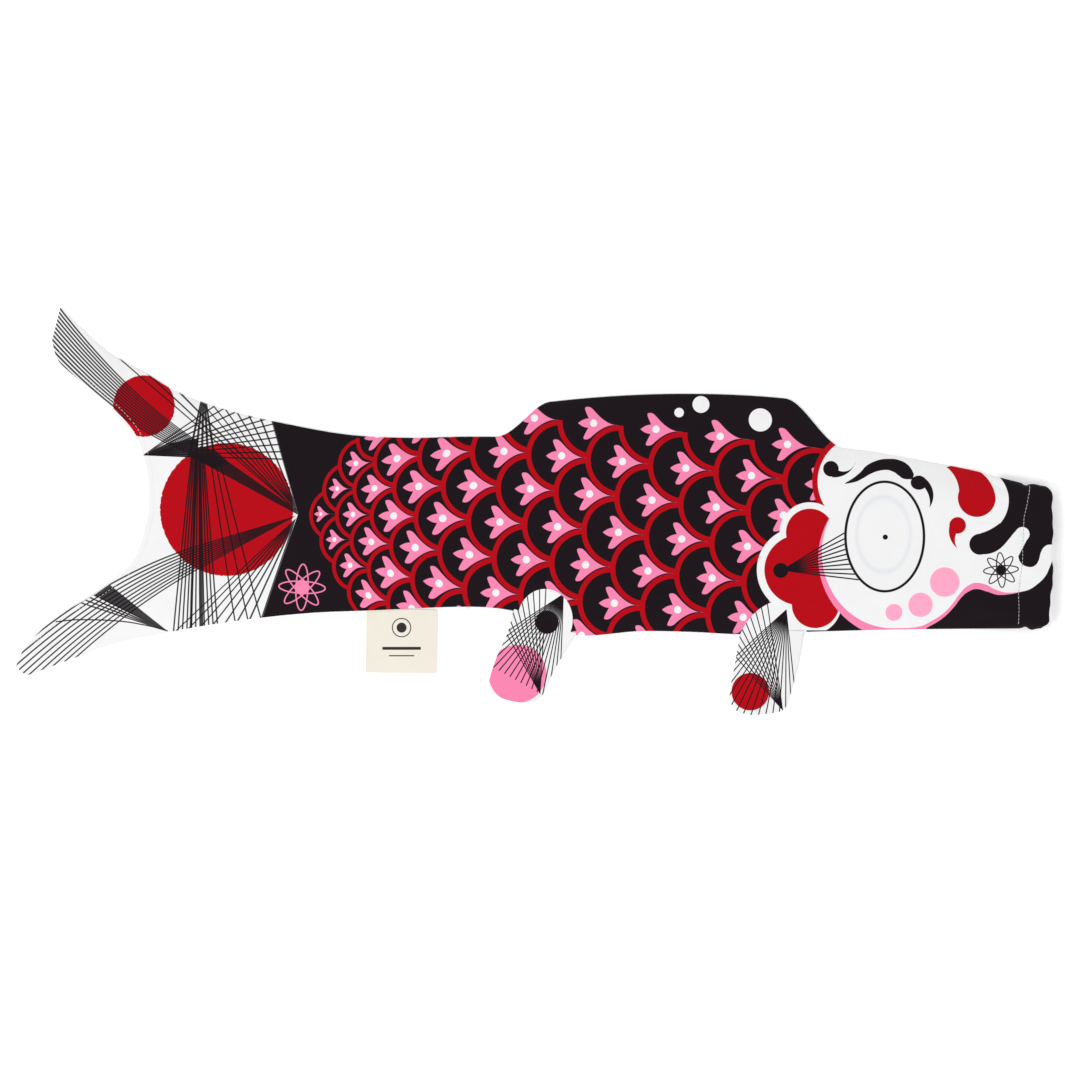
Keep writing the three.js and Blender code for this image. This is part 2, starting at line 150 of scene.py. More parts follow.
back_edge = edge_through([
    (MOUTH_X, MOUTH_TOP_Y), (CASING_X, MOUTH_TOP_Y + 2), (MOUTH_X - 59, MOUTH_TOP_Y + 12),
    (MOUTH_X - NAPE_SETBACK, BACK_Y - 7.7), (NECK_X, BACK_Y - 1.7), (WAIST_X, BACK_Y),
    (WAIST_X - 40, BACK_Y - 0.8), (TAIL_END_X + 226, BACK_Y + 1.2), (TAIL_END_X + 186, BACK_Y + 8),
    (TAIL_END_X + 145, BACK_Y + 17.3), (TAIL_END_X + 111, BACK_Y + 29.3), (TAIL_END_X + 84, BACK_Y + 45.3),
    (TAIL_END_X + 64, BACK_Y + 56.3), (TAIL_END_X + 44, BACK_Y + 73.8), (TAIL_END_X + 30, BACK_Y + 87.3),
])

lower = edge_through([
    (MOUTH_X, MOUTH_BOTTOM_Y), (MOUTH_X - 100, MOUTH_BOTTOM_Y - 0.8), (MOUTH_X - 167, MOUTH_BOTTOM_Y - 2.5),
    (MOUTH_X - 210, MOUTH_BOTTOM_Y - 4), (NECK_X, MOUTH_BOTTOM_Y - 2.5), (NECK_X - 34, MOUTH_BOTTOM_Y - 2),
    (PELVIC_FRONT_X, BELLY_Y - PELVIC_RISE - 2.7),
    (PELVIC_FRONT_X - PELVIC_RUN / 2, BELLY_Y - PELVIC_RISE / 2 - 2.4),
    (PELVIC_FRONT_X - PELVIC_RUN, BELLY_Y - 2.7), (WAIST_X, BELLY_Y), (TAIL_X + 32, BELLY_Y - 2.6),
    (TAIL_X - 3, BELLY_Y - 4), (TAIL_END_X + 166, BELLY_Y - 7.4), (TAIL_END_X + 128, BELLY_Y - 12.7),
    (TAIL_END_X + 101, BELLY_Y - 17.7), (TAIL_END_X + 66, BELLY_Y - 25.2), (TAIL_END_X + 34, BELLY_Y - 36.7),
    (TAIL_END_X + 7, BELLY_Y - 46.7),
])


def upper(x):
    """The back edge, and on it the dorsal fin: a low parabola faded in and out by a ramp at each end."""
    setback = MOUTH_X - NAPE_SETBACK - np.asarray(x, float)
    crest = DORSAL_HEIGHT - 5 * ((setback - DORSAL_LENGTH / 3) / 100) ** 2
    return back_edge(x) + crest * smooth(setback, 0, 40) * smooth(DORSAL_LENGTH - setback, 0, 37)


def curve_through(points):
    """A Catmull-Rom spline through the points, as a function of 0 to 1."""
    p = np.array(points, float)
    p = np.concatenate([p[:1], p, p[-1:]])

    def at(t):
        t = np.clip(np.asarray(t, float), 0, 1) * (len(p) - 3)
        i = np.minimum(t.astype(int), len(p) - 4)
        f = (t - i)[..., None]
        a, b, c, d = (p[i + k] for k in range(4))
        bend = (2 * a - 5 * b + 4 * c - d) * f ** 2 + (3 * b - a - 3 * c + d) * f ** 3
        return 0.5 * (2 * b + (c - a) * f + bend)

    return at


vent_edge = curve_through([
    (TAIL_END_X + 24.6, BACK_Y + 65.3), (TAIL_END_X + 29, BACK_Y + 51.3), (TAIL_END_X + 43, BACK_Y + 38.3),
    (TAIL_END_X + 66, BACK_Y + 19.3), (TAIL_END_X + 82, BACK_Y + 0.3), (TAIL_END_X + 89, BACK_Y - 22.7),
    (TAIL_END_X + 90.5, BACK_Y - 41.7), (TAIL_END_X + 88.5, BELLY_Y + 55.3),
    (TAIL_END_X + 78, BELLY_Y + 28.3), (TAIL_END_X + 55, BELLY_Y + 9.3), (TAIL_END_X + 28, BELLY_Y - 6.7),
    (TAIL_END_X + 7.6, BELLY_Y - 25.7), (TAIL_END_X, BELLY_Y - 40.7),
])


def on_upper(x):
    return np.stack([np.asarray(x, float), upper(x)], -1)


def on_lower(x):
    return np.stack([np.asarray(x, float), lower(x)], -1)


def run_along(curve, start, end):
    return lambda t: curve(start + np.asarray(t, float) * (end - start))


def straight(start, end):
    start, end = np.array(start, float), np.array(end, float)
    return lambda t: start + np.asarray(t, float)[..., None] * (end - start)


def patch(bottom, top, left, right):
    """A Coons patch: the sum of the two pairs of opposite edges, each blended across, less their corners."""
    low_left, low_right, top_left, top_right = bottom(0.0), bottom(1.0), top(0.0), top(1.0)

    def place(u, v):
        a, b = u[..., None], v[..., None]
        ruled = (1 - b) * bottom(u) + b * top(u) + (1 - a) * left(v) + a * right(v)
        corners = (1 - b) * ((1 - a) * low_left + a * low_right) + b * ((1 - a) * top_left + a * top_right)
        return ruled - corners

    return place


def between(bottom, top):
    """A patch between two curves, with straight ends."""
    return patch(bottom, top, straight(bottom(0.0), top(0.0)), straight(bottom(1.0), top(1.0)))


# ---------- how high the cloth lies ----------


def clear_height(x):
    """Air in the tube over X: a low arch between bend lines, wider towards the mouth, thin at the lobes."""
    head = BEND_HEIGHT + (MOUTH_GAPE - 0.8 - BEND_HEIGHT) * smooth(x, NECK_X, CASING_X)
    trunk = BEND_HEIGHT + PUFF * np.sin(np.pi * (x - NECK_X) / (WAIST_X - NECK_X)) ** 2
    rear = BEND_HEIGHT + PUFF / 2 * np.sin(np.pi * (x - WAIST_X) / (TAIL_X - WAIST_X)) ** 2
    tail = 0.7 + (BEND_HEIGHT - 0.7) * smooth(x, TAIL_END_X, TAIL_END_X + 0.45 * TAIL_LENGTH)
    return np.select([x > NECK_X, x > WAIST_X, x > TAIL_X], [head, trunk, rear], tail)


waves = [(rng.uniform(0.02, 0.07), rng.uniform(0.02, 0.08), rng.uniform(0, 6.3)) for _ in range(7)]
ripples = [(rng.uniform(0.2, 0.75), rng.uniform(0, 6.3), rng.uniform(-0.25, 0.25)) for _ in range(9)]


def soft_waves(x, y):
    """A sum of long sine waves across the plan, in both directions, about 1 mm high in all."""
    return sum(np.sin(a * x + (b - 0.05) * y * 1.4 + c) for a, b, c in waves) / len(waves) ** 0.5


def seam_puckers(x, y, distance):
    """Short sine ripples along X that die away from a seam over a centimetre or two."""
    total = sum(np.sin(a * x + b + c * y) for a, b, c in ripples) / len(ripples) ** 0.5
    return total * np.exp(-distance / 9) * smooth(distance, 0, 4)


def roundness(x):
    """0 where the tube's edge is a flat seam, 1 at the mouth, which the hoop holds in a flattened ring."""
    return smooth(x, CASING_X - MOUTH_BLEND, CASING_X)


STITCH_Y, STITCH_X = np.array([
    (-78.8, 326.8), (-64.9, 327.2), (-55.1, 326.8), (-34.7, 329.5), (-24.9, 329.7), (-10.1, 330.3),
    (-4.4, 330.5), (4.6, 332.6), (16.0, 334.6)]).T  # the line of stitches that holds the casing of the hoop


def stitch_line(y):
    return np.interp(y, STITCH_Y, STITCH_X)


def gathers(x, y):
    """A groove along the casing's stitches, with small folds that cross it and die away."""
    away = x - stitch_line(y)
    folds = np.sin(0.62 * y + 0.5) + 0.7 * np.sin(1.13 * y + 2.0) + 0.5 * np.sin(0.31 * y)
    return -0.45 * np.exp(-(away / 1.3) ** 2) + 0.22 * folds * np.exp(-np.abs(away) / 5.5)


def near_top(x, y):
    """Top of the near cloth: a plateau that falls to the seam along the back and the belly."""
    slope = SEAM_SLOPE + (MOUTH_SLOPE - SEAM_SLOPE) * roundness(x)
    to_back, to_belly = upper(x) - y, y - lower(x)
    rise = [1 - (1 - np.clip(d / slope, 0, 1)) ** 2 for d in (to_back, to_belly)]
    full = np.maximum(clear_height(x) - 1, 0)
    distance = np.maximum(np.minimum(to_back, to_belly), 0)
    calm = 1 - 0.85 * smooth(x, CASING_X - 12, CASING_X)
    relief = 0.75 * soft_waves(x, y) * rise[0] * rise[1] + 0.40 * seam_puckers(x, y, distance)
    arch = np.maximum(2 * SEAM_MIDDLE + full * rise[0] * rise[1], 2 * fold_radius(x))
    return arch + calm * relief + gathers(x, y) * rise[0] * rise[1]


def fold_radius(x):
    """Radius of the round fold along the back and the belly."""
    return SEAM_MIDDLE + (MOUTH_GAPE / 2 - SEAM_MIDDLE) * roundness(x)


def fold_share(gap, radius):
    """How far round its fold the cloth has come at a gap from the seam: 0 at the edge, 1 past the radius."""
    return np.sqrt(1 - (1 - np.clip(gap / radius, 0, 1)) ** 2)


def skin_heights(plan):
    """Height of the near and far cloth at places on the plan of the tube."""
    x, y = plan[:, 0], plan[:, 1]
    middle = fold_radius(x)
    share = fold_share(np.minimum(upper(x) - y, y - lower(x)), middle)
    return middle + (near_top(x, y) - middle) * share, middle * (1 - share)


# ---------- meshes ----------


def add_mesh(name, points, faces, plan, material):
    """A mesh object at the origin from points in millimetres, with plan as its UV map, in metres."""
    mesh = bpy.data.meshes.new(name)
    mesh.from_pydata((points * MM).tolist(), [], faces.tolist())
    layer = mesh.uv_layers.new(name="plan")
    loops = np.empty(len(mesh.loops), np.int32)
    mesh.loops.foreach_get("vertex_index", loops)
    layer.data.foreach_set("uv", (plan[loops] * MM).astype(np.float32).ravel())
    mesh.materials.append(material)
    mesh.shade_smooth()
    mesh.set_sharp_from_angle(angle=math.radians(60))
    piece = bpy.data.objects.new(name, mesh)
    bpy.context.scene.collection.objects.link(piece)
    return piece


def grid_faces(index):
    """Quads between neighbouring entries of a 2-D array of point numbers."""
    return np.stack([index[:-1, :-1], index[1:, :-1], index[1:, 1:], index[:-1, 1:]], -1).reshape(-1, 4)


def merged(points, plan, faces):
    """The same surface with points that coincide made one, so that a quad may hold one corner twice."""
    _, first, inverse = np.unique(np.round(points, 4), axis=0, return_index=True, return_inverse=True)
    return points[first], plan[first], inverse.reshape(-1)[faces]


def thickened(points, plan, faces, thickness):
    """Adds an inner skin, the outer one moved in along its normals, and a rim along every open edge."""
    a, b, c, d = (points[faces[:, k]] for k in range(4))
    face_normal = np.cross(c - a, d - b)
    normal = np.zeros_like(points)
    for k in range(4):
        np.add.at(normal, faces[:, k], face_normal)
    normal /= np.maximum(np.linalg.norm(normal, axis=1, keepdims=True), 1e-9)
    inner = points - thickness * normal
    count = len(points)
    edges = np.concatenate([faces[:, [k, (k + 1) % 4]] for k in range(4)])
    edges = edges[edges[:, 0] != edges[:, 1]]
    low_high = np.sort(edges, axis=1)
    _, inverse, uses = np.unique(low_high, axis=0, return_inverse=True, return_counts=True)
    rim = edges[uses[inverse.reshape(-1)] == 1]
    rim_faces = np.stack([rim[:, 1], rim[:, 0], rim[:, 0] + count, rim[:, 1] + count], -1)
    return (np.concatenate([points, inner]), np.concatenate([plan, plan]),
            np.concatenate([faces, faces[:, ::-1] + count, rim_faces]))


def spread_from_edges(width, middle_steps, closed, radius):
    """Shares of a width from 0 to 1, with extra steps inside the fold's radius at each closed edge."""
    share = radius / width
    fold = np.array([0, 0.04, 0.15, 0.35, 0.65])[:, None] * share
    low = share if "low" in closed else 0 * share
    high = 1 - share if "high" in closed else 1 + 0 * share
    steps = low + np.linspace(0, 1, middle_steps + 1)[:, None] * (high - low)
    before = [fold] if "low" in closed else []
    after = [1 - fold[::-1]] if "high" in closed else []
    return np.concatenate([*before, steps, *after]).T


def double_cloth(place, u, middle_steps, closed, top=near_top, radius=None, hem=None):
    """Near and far cloth over a patch, joined by a round fold along its closed sides.

    place(u, v) is the patch; closed names the sides with a fold, of "low" (v = 0), "high" (v = 1), "left"
    (u = 0) and "right" (u = 1). Height above the fold's middle is the full height times
    sqrt(1 - (1 - d/r)^2), where d is the distance to the nearest closed side and r the fold's radius.
    A hem, given as its fold's radius and its depth, turns the end at u = 1 inwards and back.
    """
    ends = place(u, np.zeros_like(u)), place(u, np.ones_like(u))
    width = np.maximum(np.linalg.norm(ends[1] - ends[0], axis=-1), 3.0)
    edge_radius = fold_radius(ends[0][:, 0])
    if radius is not None:
        edge_radius = np.full_like(edge_radius, radius)
    v = spread_from_edges(width, middle_steps, closed, np.minimum(edge_radius, width / 3))
    uu = np.broadcast_to(u[:, None], v.shape)
    plan = place(uu, v)
    zeros, ones = np.zeros_like(v), np.ones_like(v)
    sides = {"low": (uu, zeros), "high": (uu, ones), "left": (zeros, v), "right": (ones, v)}
    gap = np.min([np.linalg.norm(plan - place(*sides[side]), axis=-1) for side in closed], axis=0)
    middle = edge_radius[:, None]
    fold = fold_share(gap, middle)
    x, y = plan[..., 0], plan[..., 1]
    near = np.dstack([plan, middle + (np.maximum(top(x, y), middle) - middle) * fold])
    far = np.dstack([plan, middle * (1 - fold)])
    count = v.size
    index = np.arange(count).reshape(v.shape)
    faces = np.concatenate([grid_faces(index), grid_faces(index + count)[:, ::-1]])
    points = np.concatenate([near.reshape(-1, 3), far.reshape(-1, 3)])
    if hem is not None:
        ring = np.concatenate([index[-1], index[-1, -2:0:-1] + count])
        points, faces = turned_in(points, faces, ring, *hem)
    return merged(points, points[:, :2], faces)


def turned_in(points, faces, ring, radius, depth):
    """Adds a hem to a closed ring of points: half a circle inwards, then straight back along X."""
    loop = points[ring]
    along = np.roll(loop, -1, axis=0) - np.roll(loop, 1, axis=0)
    inward = np.stack([np.zeros(len(loop)), along[:, 2], -along[:, 1]], -1)
    inward /= np.linalg.norm(inward, axis=1, keepdims=True)
    turn = np.pi * np.arange(1, 8) / 7
    inset = np.concatenate([radius * (1 - np.cos(turn)), np.full(5, 2 * radius)])
    ahead = np.concatenate([radius * np.sin(turn), -depth * np.array([0.1, 0.3, 0.55, 0.8, 1.0])])
    rings = loop + inset[:, None, None] * inward + ahead[:, None, None] * np.array([1.0, 0, 0])
    numbers = np.vstack([ring, len(points) + np.arange(rings[..., 0].size).reshape(rings.shape[:2])])
    numbers = np.hstack([numbers, numbers[:, :1]])
    return np.concatenate([points, rings.reshape(-1, 3)]), np.concatenate([faces, grid_faces(numbers)])


def cloth_piece(name, surface, material, thickness=CLOTH):
    points, plan, faces = surface
    points, plan, faces = thickened(points, plan, faces, thickness)
    keep = (faces[:, 0] != faces[:, 2]) & (faces[:, 1] != faces[:, 3])
    return add_mesh(name, points, faces[keep], plan, material)


# ---------- prints, drawn by shader nodes on the plan ----------

INK_EDGE = 0.22  # millimetres over which an ink edge fades
YARN_PITCH = 0.55
BLACK = (0.0085, 0.0050, 0.0075, 1)
RED = (0.400, 0.0010, 0.0060, 1)
PINK = (0.800, 0.205, 0.375, 1)
CHEEK = (0.860, 0.335, 0.490, 1)
WHITE = (0.750, 0.750, 0.752, 1)
GREY = (0.610, 0.625, 0.680, 1)


def feed(tree, socket, value):
    """Links a socket to another one, or sets it to a constant."""
    value = getattr(value, "socket", value)
    if isinstance(value, bpy.types.NodeSocket):
        tree.links.new(value, socket)
    elif value is not None:
        socket.default_value = value


def new_node(tree, kind, *values, named=None, **settings):
    """A shader node with its settings, its first inputs in their order, and others by name."""
    node = tree.nodes.new(kind)
    for name, setting in settings.items():
        setattr(node, name, setting)
    for socket, value in zip(node.inputs, values):
        feed(tree, socket, value)
    for name, value in (named or {}).items():
        feed(tree, node.inputs[name], value)
    return node


def mixed(tree, share, first, second, **settings):
    """The first colour where share is 0 and the second where it is 1."""
    node = new_node(tree, "ShaderNodeMix", share, data_type="RGBA", **settings)
    feed(tree, node.inputs[6], first)
    feed(tree, node.inputs[7], second)
    return node.outputs[2]


class Value:
    """A number worked out by shader nodes, written with the usual signs; & | and ~ join masks from 0 to 1."""

    def __init__(self, tree, socket):
        self.tree = tree
        self.socket = socket

    def math(self, operation, *others, clamp=False):
        node = new_node(self.tree, "ShaderNodeMath", self, *others, operation=operation, use_clamp=clamp)
        return Value(self.tree, node.outputs[0])

    def __rsub__(self, other):
        return self.math("MULTIPLY_ADD", -1, other)

    def __invert__(self):
        return 1 - self

    def at_least(self, low):
        return self.math("MAXIMUM", low)

    def at_most(self, high):
        return self.math("MINIMUM", high)

    def under(self, limit, edge=INK_EDGE):
        """1 where the number is under the limit, fading over an ink edge."""
        return self.math("MULTIPLY_ADD", -1 / edge, limit / edge + 0.5, clamp=True)

    def over(self, limit, edge=INK_EDGE):
        return self.math("MULTIPLY_ADD", 1 / edge, 0.5 - limit / edge, clamp=True)


SIGNS = {"add": "ADD", "radd": "ADD", "sub": "SUBTRACT", "mul": "MULTIPLY", "rmul": "MULTIPLY",
         "truediv": "DIVIDE", "pow": "POWER", "abs": "ABSOLUTE", "lt": "LESS_THAN", "gt": "GREATER_THAN",
         "and": "MULTIPLY", "or": "MAXIMUM"}
for sign, operation in SIGNS.items():
    setattr(Value, f"__{sign}__", lambda one, *other, operation=operation: one.math(operation, *other))


class Print:
    """Shader nodes for one printed cloth: numbers, masks from 0 to 1, and the colour painted so far."""

    def __init__(self, name, ground):
        self.material = bpy.data.materials.new(name)
        self.material.use_nodes = True
        self.tree = self.material.node_tree
        self.tree.nodes.clear()
        plan = self.node("ShaderNodeUVMap", uv_map="plan").outputs[0]
        self.plan = self.vector("SCALE", plan, scale=1 / MM)
        self.x, self.y = self.parts(self.plan)[:2]
        self.colour = ground

    def node(self, kind, *values, **settings):
        return new_node(self.tree, kind, *values, **settings)

    def parts(self, vector):
        """The three numbers of a vector."""
        return [Value(self.tree, out) for out in self.node("ShaderNodeSeparateXYZ", vector).outputs]

    def joined(self, *numbers):
        """A vector of two or three numbers."""
        return self.node("ShaderNodeCombineXYZ", *numbers).outputs[0]

    def vector(self, operation, a, b=None, scale=None):
        node = self.node("ShaderNodeVectorMath", a, b, None, scale, operation=operation)
        if operation in ("DISTANCE", "LENGTH", "DOT_PRODUCT"):
            return Value(self.tree, node.outputs["Value"])
        return node.outputs["Vector"]

    def noise(self, scale, detail):
        node = self.node("ShaderNodeTexNoise", self.plan, named={"Scale": scale, "Detail": detail})
        return Value(self.tree, node.outputs[0])

    def paint(self, mask, colour):
        self.colour = mixed(self.tree, mask, self.colour, colour)

    # masks

    def distance(self, x, y):
        return self.vector("DISTANCE", self.plan, (x, y, 0))

    def disc(self, x, y, radius):
        return self.distance(x, y).under(radius)

    def oval_place(self, x, y, half_x, half_y, turn=0.0):
        """Place from the centre, in units of the oval's own half widths."""
        return self.node("ShaderNodeMapping", self.plan, (x, y, 0), (0, 0, math.radians(turn)),
                         (half_x, half_y, 1), vector_type="TEXTURE").outputs[0]

    def oval(self, x, y, half_x, half_y):
        length = self.vector("LENGTH", self.oval_place(x, y, half_x, half_y))
        return length.under(1, INK_EDGE / min(half_x, half_y))

    def oval_ring(self, x, y, half_x, half_y, width, turn):
        """1 within half a width of an oval's edge: how far its length is from 1, over its rate of change."""
        place = self.oval_place(x, y, half_x, half_y, turn)
        length = self.vector("LENGTH", place)
        rate = self.vector("LENGTH", self.vector("MULTIPLY", place, (1 / half_x, 1 / half_y, 0)))
        return abs((length - 1) * length / rate).under(width / 2)

    def left_of(self, start, end):
        """1 on the left of the line from start to end."""
        run = math.dist(start, end)
        normal = ((start[1] - end[1]) / run, (end[0] - start[0]) / run, 0)
        return self.vector("DOT_PRODUCT", self.plan, normal).over(normal[0] * start[0] + normal[1] * start[1])

    def east(self, x):
        """1 where X is over x."""
        return self.x.over(x)

    def north(self, y):
        """1 where Y is over y."""
        return self.y.over(y)

    def polygon(self, *corners):
        """1 inside convex corners given anticlockwise."""
        inside = self.left_of(corners[-1], corners[0])
        for start, end in zip(corners, corners[1:]):
            inside = inside & self.left_of(start, end)
        return inside

    def curve_height(self, stations):
        """Y of a smooth curve through [x, y] stations, level beyond its ends."""
        (x0, x1), (y0, y1) = ((min(s), max(s)) for s in zip(*stations))
        along = self.x.math("MULTIPLY_ADD", 1 / (x1 - x0), -x0 / (x1 - x0), clamp=True)
        node = self.node("ShaderNodeFloatCurve", named={"Value": along})
        curve = node.mapping.curves[0]
        shares = [((x - x0) / (x1 - x0), (y - y0) / (y1 - y0)) for x, y in stations]
        for point, share in zip(curve.points, (shares[0], shares[-1])):
            point.location = share
        for share in shares[1:-1]:
            curve.points.new(*share)
        for point in curve.points:
            point.handle_type = "AUTO_CLAMPED"
        node.mapping.update()
        return Value(self.tree, node.outputs[0]) * (y1 - y0) + y0

    def below(self, stations):
        """1 under the curve through the stations."""
        return (self.y - self.curve_height(stations)).under(0)

    def beside(self, stations):
        """1 from the first station's X to the last's."""
        return self.east(stations[0][0]) & ~self.east(stations[-1][0])

    def traced(self, stations, width):
        """1 along the curve through the stations."""
        return abs(self.y - self.curve_height(stations)).under(width / 2) & self.beside(stations)

    def fan(self, apex, first, last, lines, width, start=0.0, end=1.0, plan=None, taper=0.0):
        """Straight lines from an apex to equal steps between two far points, from start to end of the way.

        A place is apex + a (first - apex) + b (last - apex); a + b is how far out it is, b / (a + b) is how
        far across the fan, and the distance to the nearest line is the fraction of that times the steps.
        """
        apex, first, last = (np.array(point) for point in (apex, first, last))
        b, c = first - apex, last - apex
        cross = b[0] * c[1] - b[1] * c[0]
        near, far = np.array([c[1], -c[0]]) / cross, np.array([-b[1], b[0]]) / cross
        plan = plan or self.plan
        share_near, share_far = (self.vector("DOT_PRODUCT", plan, (*side, 0)) - float(side @ apex)
                                 for side in (near, far))
        out = share_near + share_far
        across = share_far / out
        steps = lines - 1
        spacing = abs(cross) / math.hypot(*((b + c) / 2)) / steps
        distance = (across * steps).math("PINGPONG", 0.5) * (out * spacing)
        half = out * (width / 2 * taper) + width / 2 * (1 - taper)
        inside = across.math("COMPARE", 0.5, 0.5 + 0.3 / steps)
        return (distance - half).under(0) & inside & out.math("COMPARE", (start + end) / 2, (end - start) / 2)

    def orbits(self, x, y, reach, thin, width, heart, turn):
        """Four crossed thin ovals about a filled heart."""
        mark = self.disc(x, y, heart)
        for k in range(4):
            mark = mark | self.oval_ring(x, y, thin, reach, width, turn + 45 * k)
        return mark

    # finish

    def cloth_surface(self, roughness=0.85, sheen=0.02):
        """Plain weave, slubs, faint creases and slight unevenness of ink over the painted colour."""
        blotch = self.noise(0.06, 4)
        grain = self.noise(1.6, 2)
        shade = blotch * 0.07 + grain * 0.05 + 0.94
        colour = mixed(self.tree, 1, self.colour, self.joined(shade, shade, shade), blend_type="MULTIPLY")
        warp, weft = ((at * (2 * math.pi / YARN_PITCH)).math("SINE") for at in (self.x, self.y))
        bump = self.node("ShaderNodeBump", named={"Strength": 0.35, "Distance": 0.0002,
                                                  "Height": warp * weft * 0.35 + blotch * 9})
        shader = self.node("ShaderNodeBsdfPrincipled", named={
            "Base Color": colour, "Roughness": grain * 0.12 + (roughness - 0.06), "Specular IOR Level": 0.08,
            "Sheen Weight": sheen, "Sheen Roughness": 0.5, "Normal": bump.outputs[0]})
        self.node("ShaderNodeOutputMaterial", shader.outputs[0])
        return self.material


# ---------- the scale print ----------

SCALE_START_X = -151.6  # left end of the first scale
STEP_START = 7.14  # from one column of scales to the next, at the tail
STEP_GROWTH = 0.772
TURN_COLUMN = 7.0  # columns over which the step grows fast
SLOW_GROWTH = 0.27
ROW_START = 12.73  # half the distance between scales in a column, and what it gains a column
ROW_GROWTH = 1.292
ROW_LEAST = 17.2
ROW_FULL = 23.9
TOP_ROW = 3
LEAN = 0.057  # of the columns, about LEAN_LEVEL
LEAN_LEVEL = -5.8
ROW_LEVEL = -1.8
ROW_FALL = 0.088  # of the rows past FALL_COLUMN, growing with the square of the columns
FALL_COLUMN = 1.35
SCALE_RADIUS = 1.005  # in units of half the scales' distance
SCALE_RIM = 0.862
BUD_LENGTH = 11.4
BUD_EDGE = 0.02


def paint_scales(p):
    """Scales in columns from the tail, each a disc over those behind it, ringed in red with a pink bud.

    The column number C solves x = start + a C + b C^2, with a smaller b past the turning column; the row
    number is the height over half the scales' distance. Four columns may cover a place, and the one nearest
    the head that does is on top. Lengths inside a scale are in units of half the scales' distance.
    """
    upright = p.x - (p.y - LEAN_LEVEL) * LEAN - SCALE_START_X
    turn_x = STEP_START * TURN_COLUMN + STEP_GROWTH * TURN_COLUMN ** 2
    turn_step = STEP_START + 2 * STEP_GROWTH * TURN_COLUMN

    def column_of(distance, first_step, growth):
        root = (distance * (4 * growth) + first_step ** 2).at_least(0).math("SQRT")
        return (root - first_step) * (0.5 / growth)

    early = column_of(upright, STEP_START, STEP_GROWTH)
    late = column_of(upright - turn_x, turn_step, SLOW_GROWTH) + TURN_COLUMN
    column = early + (late - early) * (upright > turn_x)
    half = (column * ROW_GROWTH + ROW_START).at_least(ROW_LEAST).at_most(ROW_FULL)
    slow_step = column * (2 * SLOW_GROWTH) + (turn_step - 2 * SLOW_GROWTH * TURN_COLUMN)
    step = (column * (2 * STEP_GROWTH) + STEP_START).at_most(slow_step)
    past = (column - FALL_COLUMN).at_least(0)
    row = (past * past * ROW_FALL - ROW_LEVEL + p.y) / half
    whole = column.math("FLOOR")
    part = column - whole
    even, odd = ((row + whole + k).math("WRAP", 1, -1) for k in (0, 1))

    def scale(back, offset):
        """Of the scale that starts back columns behind: its column, [depth, offset, radius], if it covers."""
        depth = (part + back) * (step / half)
        radius = ((SCALE_RADIUS - depth).at_least(0) ** 2 + offset ** 2).math("SQRT")
        its_column, its_row = whole - back, row - offset
        exists = (abs(its_row) < its_column + 0.5) & (its_row < TOP_ROW + 0.5)
        return its_column, p.joined(depth, offset, radius), (radius < SCALE_RADIUS) & exists

    shown_column, shown, anything = scale(3, odd)
    for back, offset in ((2, even), (1, odd), (0, even)):
        its_column, its_place, covers = scale(back, offset)
        node = p.node("ShaderNodeMix", covers, None, None, None, shown, its_place, data_type="VECTOR")
        shown = node.outputs[1]
        shown_column = shown_column + (its_column - shown_column) * covers
        anything = anything | covers
    depth, across, radius = p.parts(shown)

    # the bud, in units of its own length from its white dot: petals to -1, stem to the next scales
    place = (shown_column * 0.13 + 0.50).at_most((shown_column * 0.022 + 0.80).at_most(1.09))
    size = (shown_column * 1.42 + 5.4).at_most(BUD_LENGTH) / half
    along = (depth - place) / size
    beside = across / size - past * (2 * ROW_FALL) / step * along.at_most(0)
    spread = abs(beside)
    outer = ((1 - along * 0.74).at_least(0) ** 1.85 * 0.73).math("SMOOTH_MIN", 0.97, 0.3)
    past_inner = spread * -0.48 - 0.18 - along
    sides = ((spread - outer) * 0.75).math("SMOOTH_MAX", past_inner, 0.3).under(0, BUD_EDGE)
    from_middle = along * 1.62 + 0.53
    middle = (from_middle * from_middle * 0.27 + spread).under(0.27, BUD_EDGE)
    dot = p.vector("LENGTH", p.joined(along, beside)).under(0.222, BUD_EDGE)
    p.paint((sides | middle) & anything & (radius < 0.99), PINK)
    p.paint(dot & anything, WHITE)
    p.paint((radius > SCALE_RIM) & anything & (row < TOP_ROW), RED)


# ---------- the tail print ----------

TAIL_POINT = (-159.0, -1.8)  # where the white of the tail runs out


def clockwise(corners):
    """Whether a polygon's corners run clockwise, from the sign of its area."""
    return sum(x0 * y1 - x1 * y0 for (x0, y0), (x1, y1) in zip(corners, corners[1:] + corners[:1])) < 0


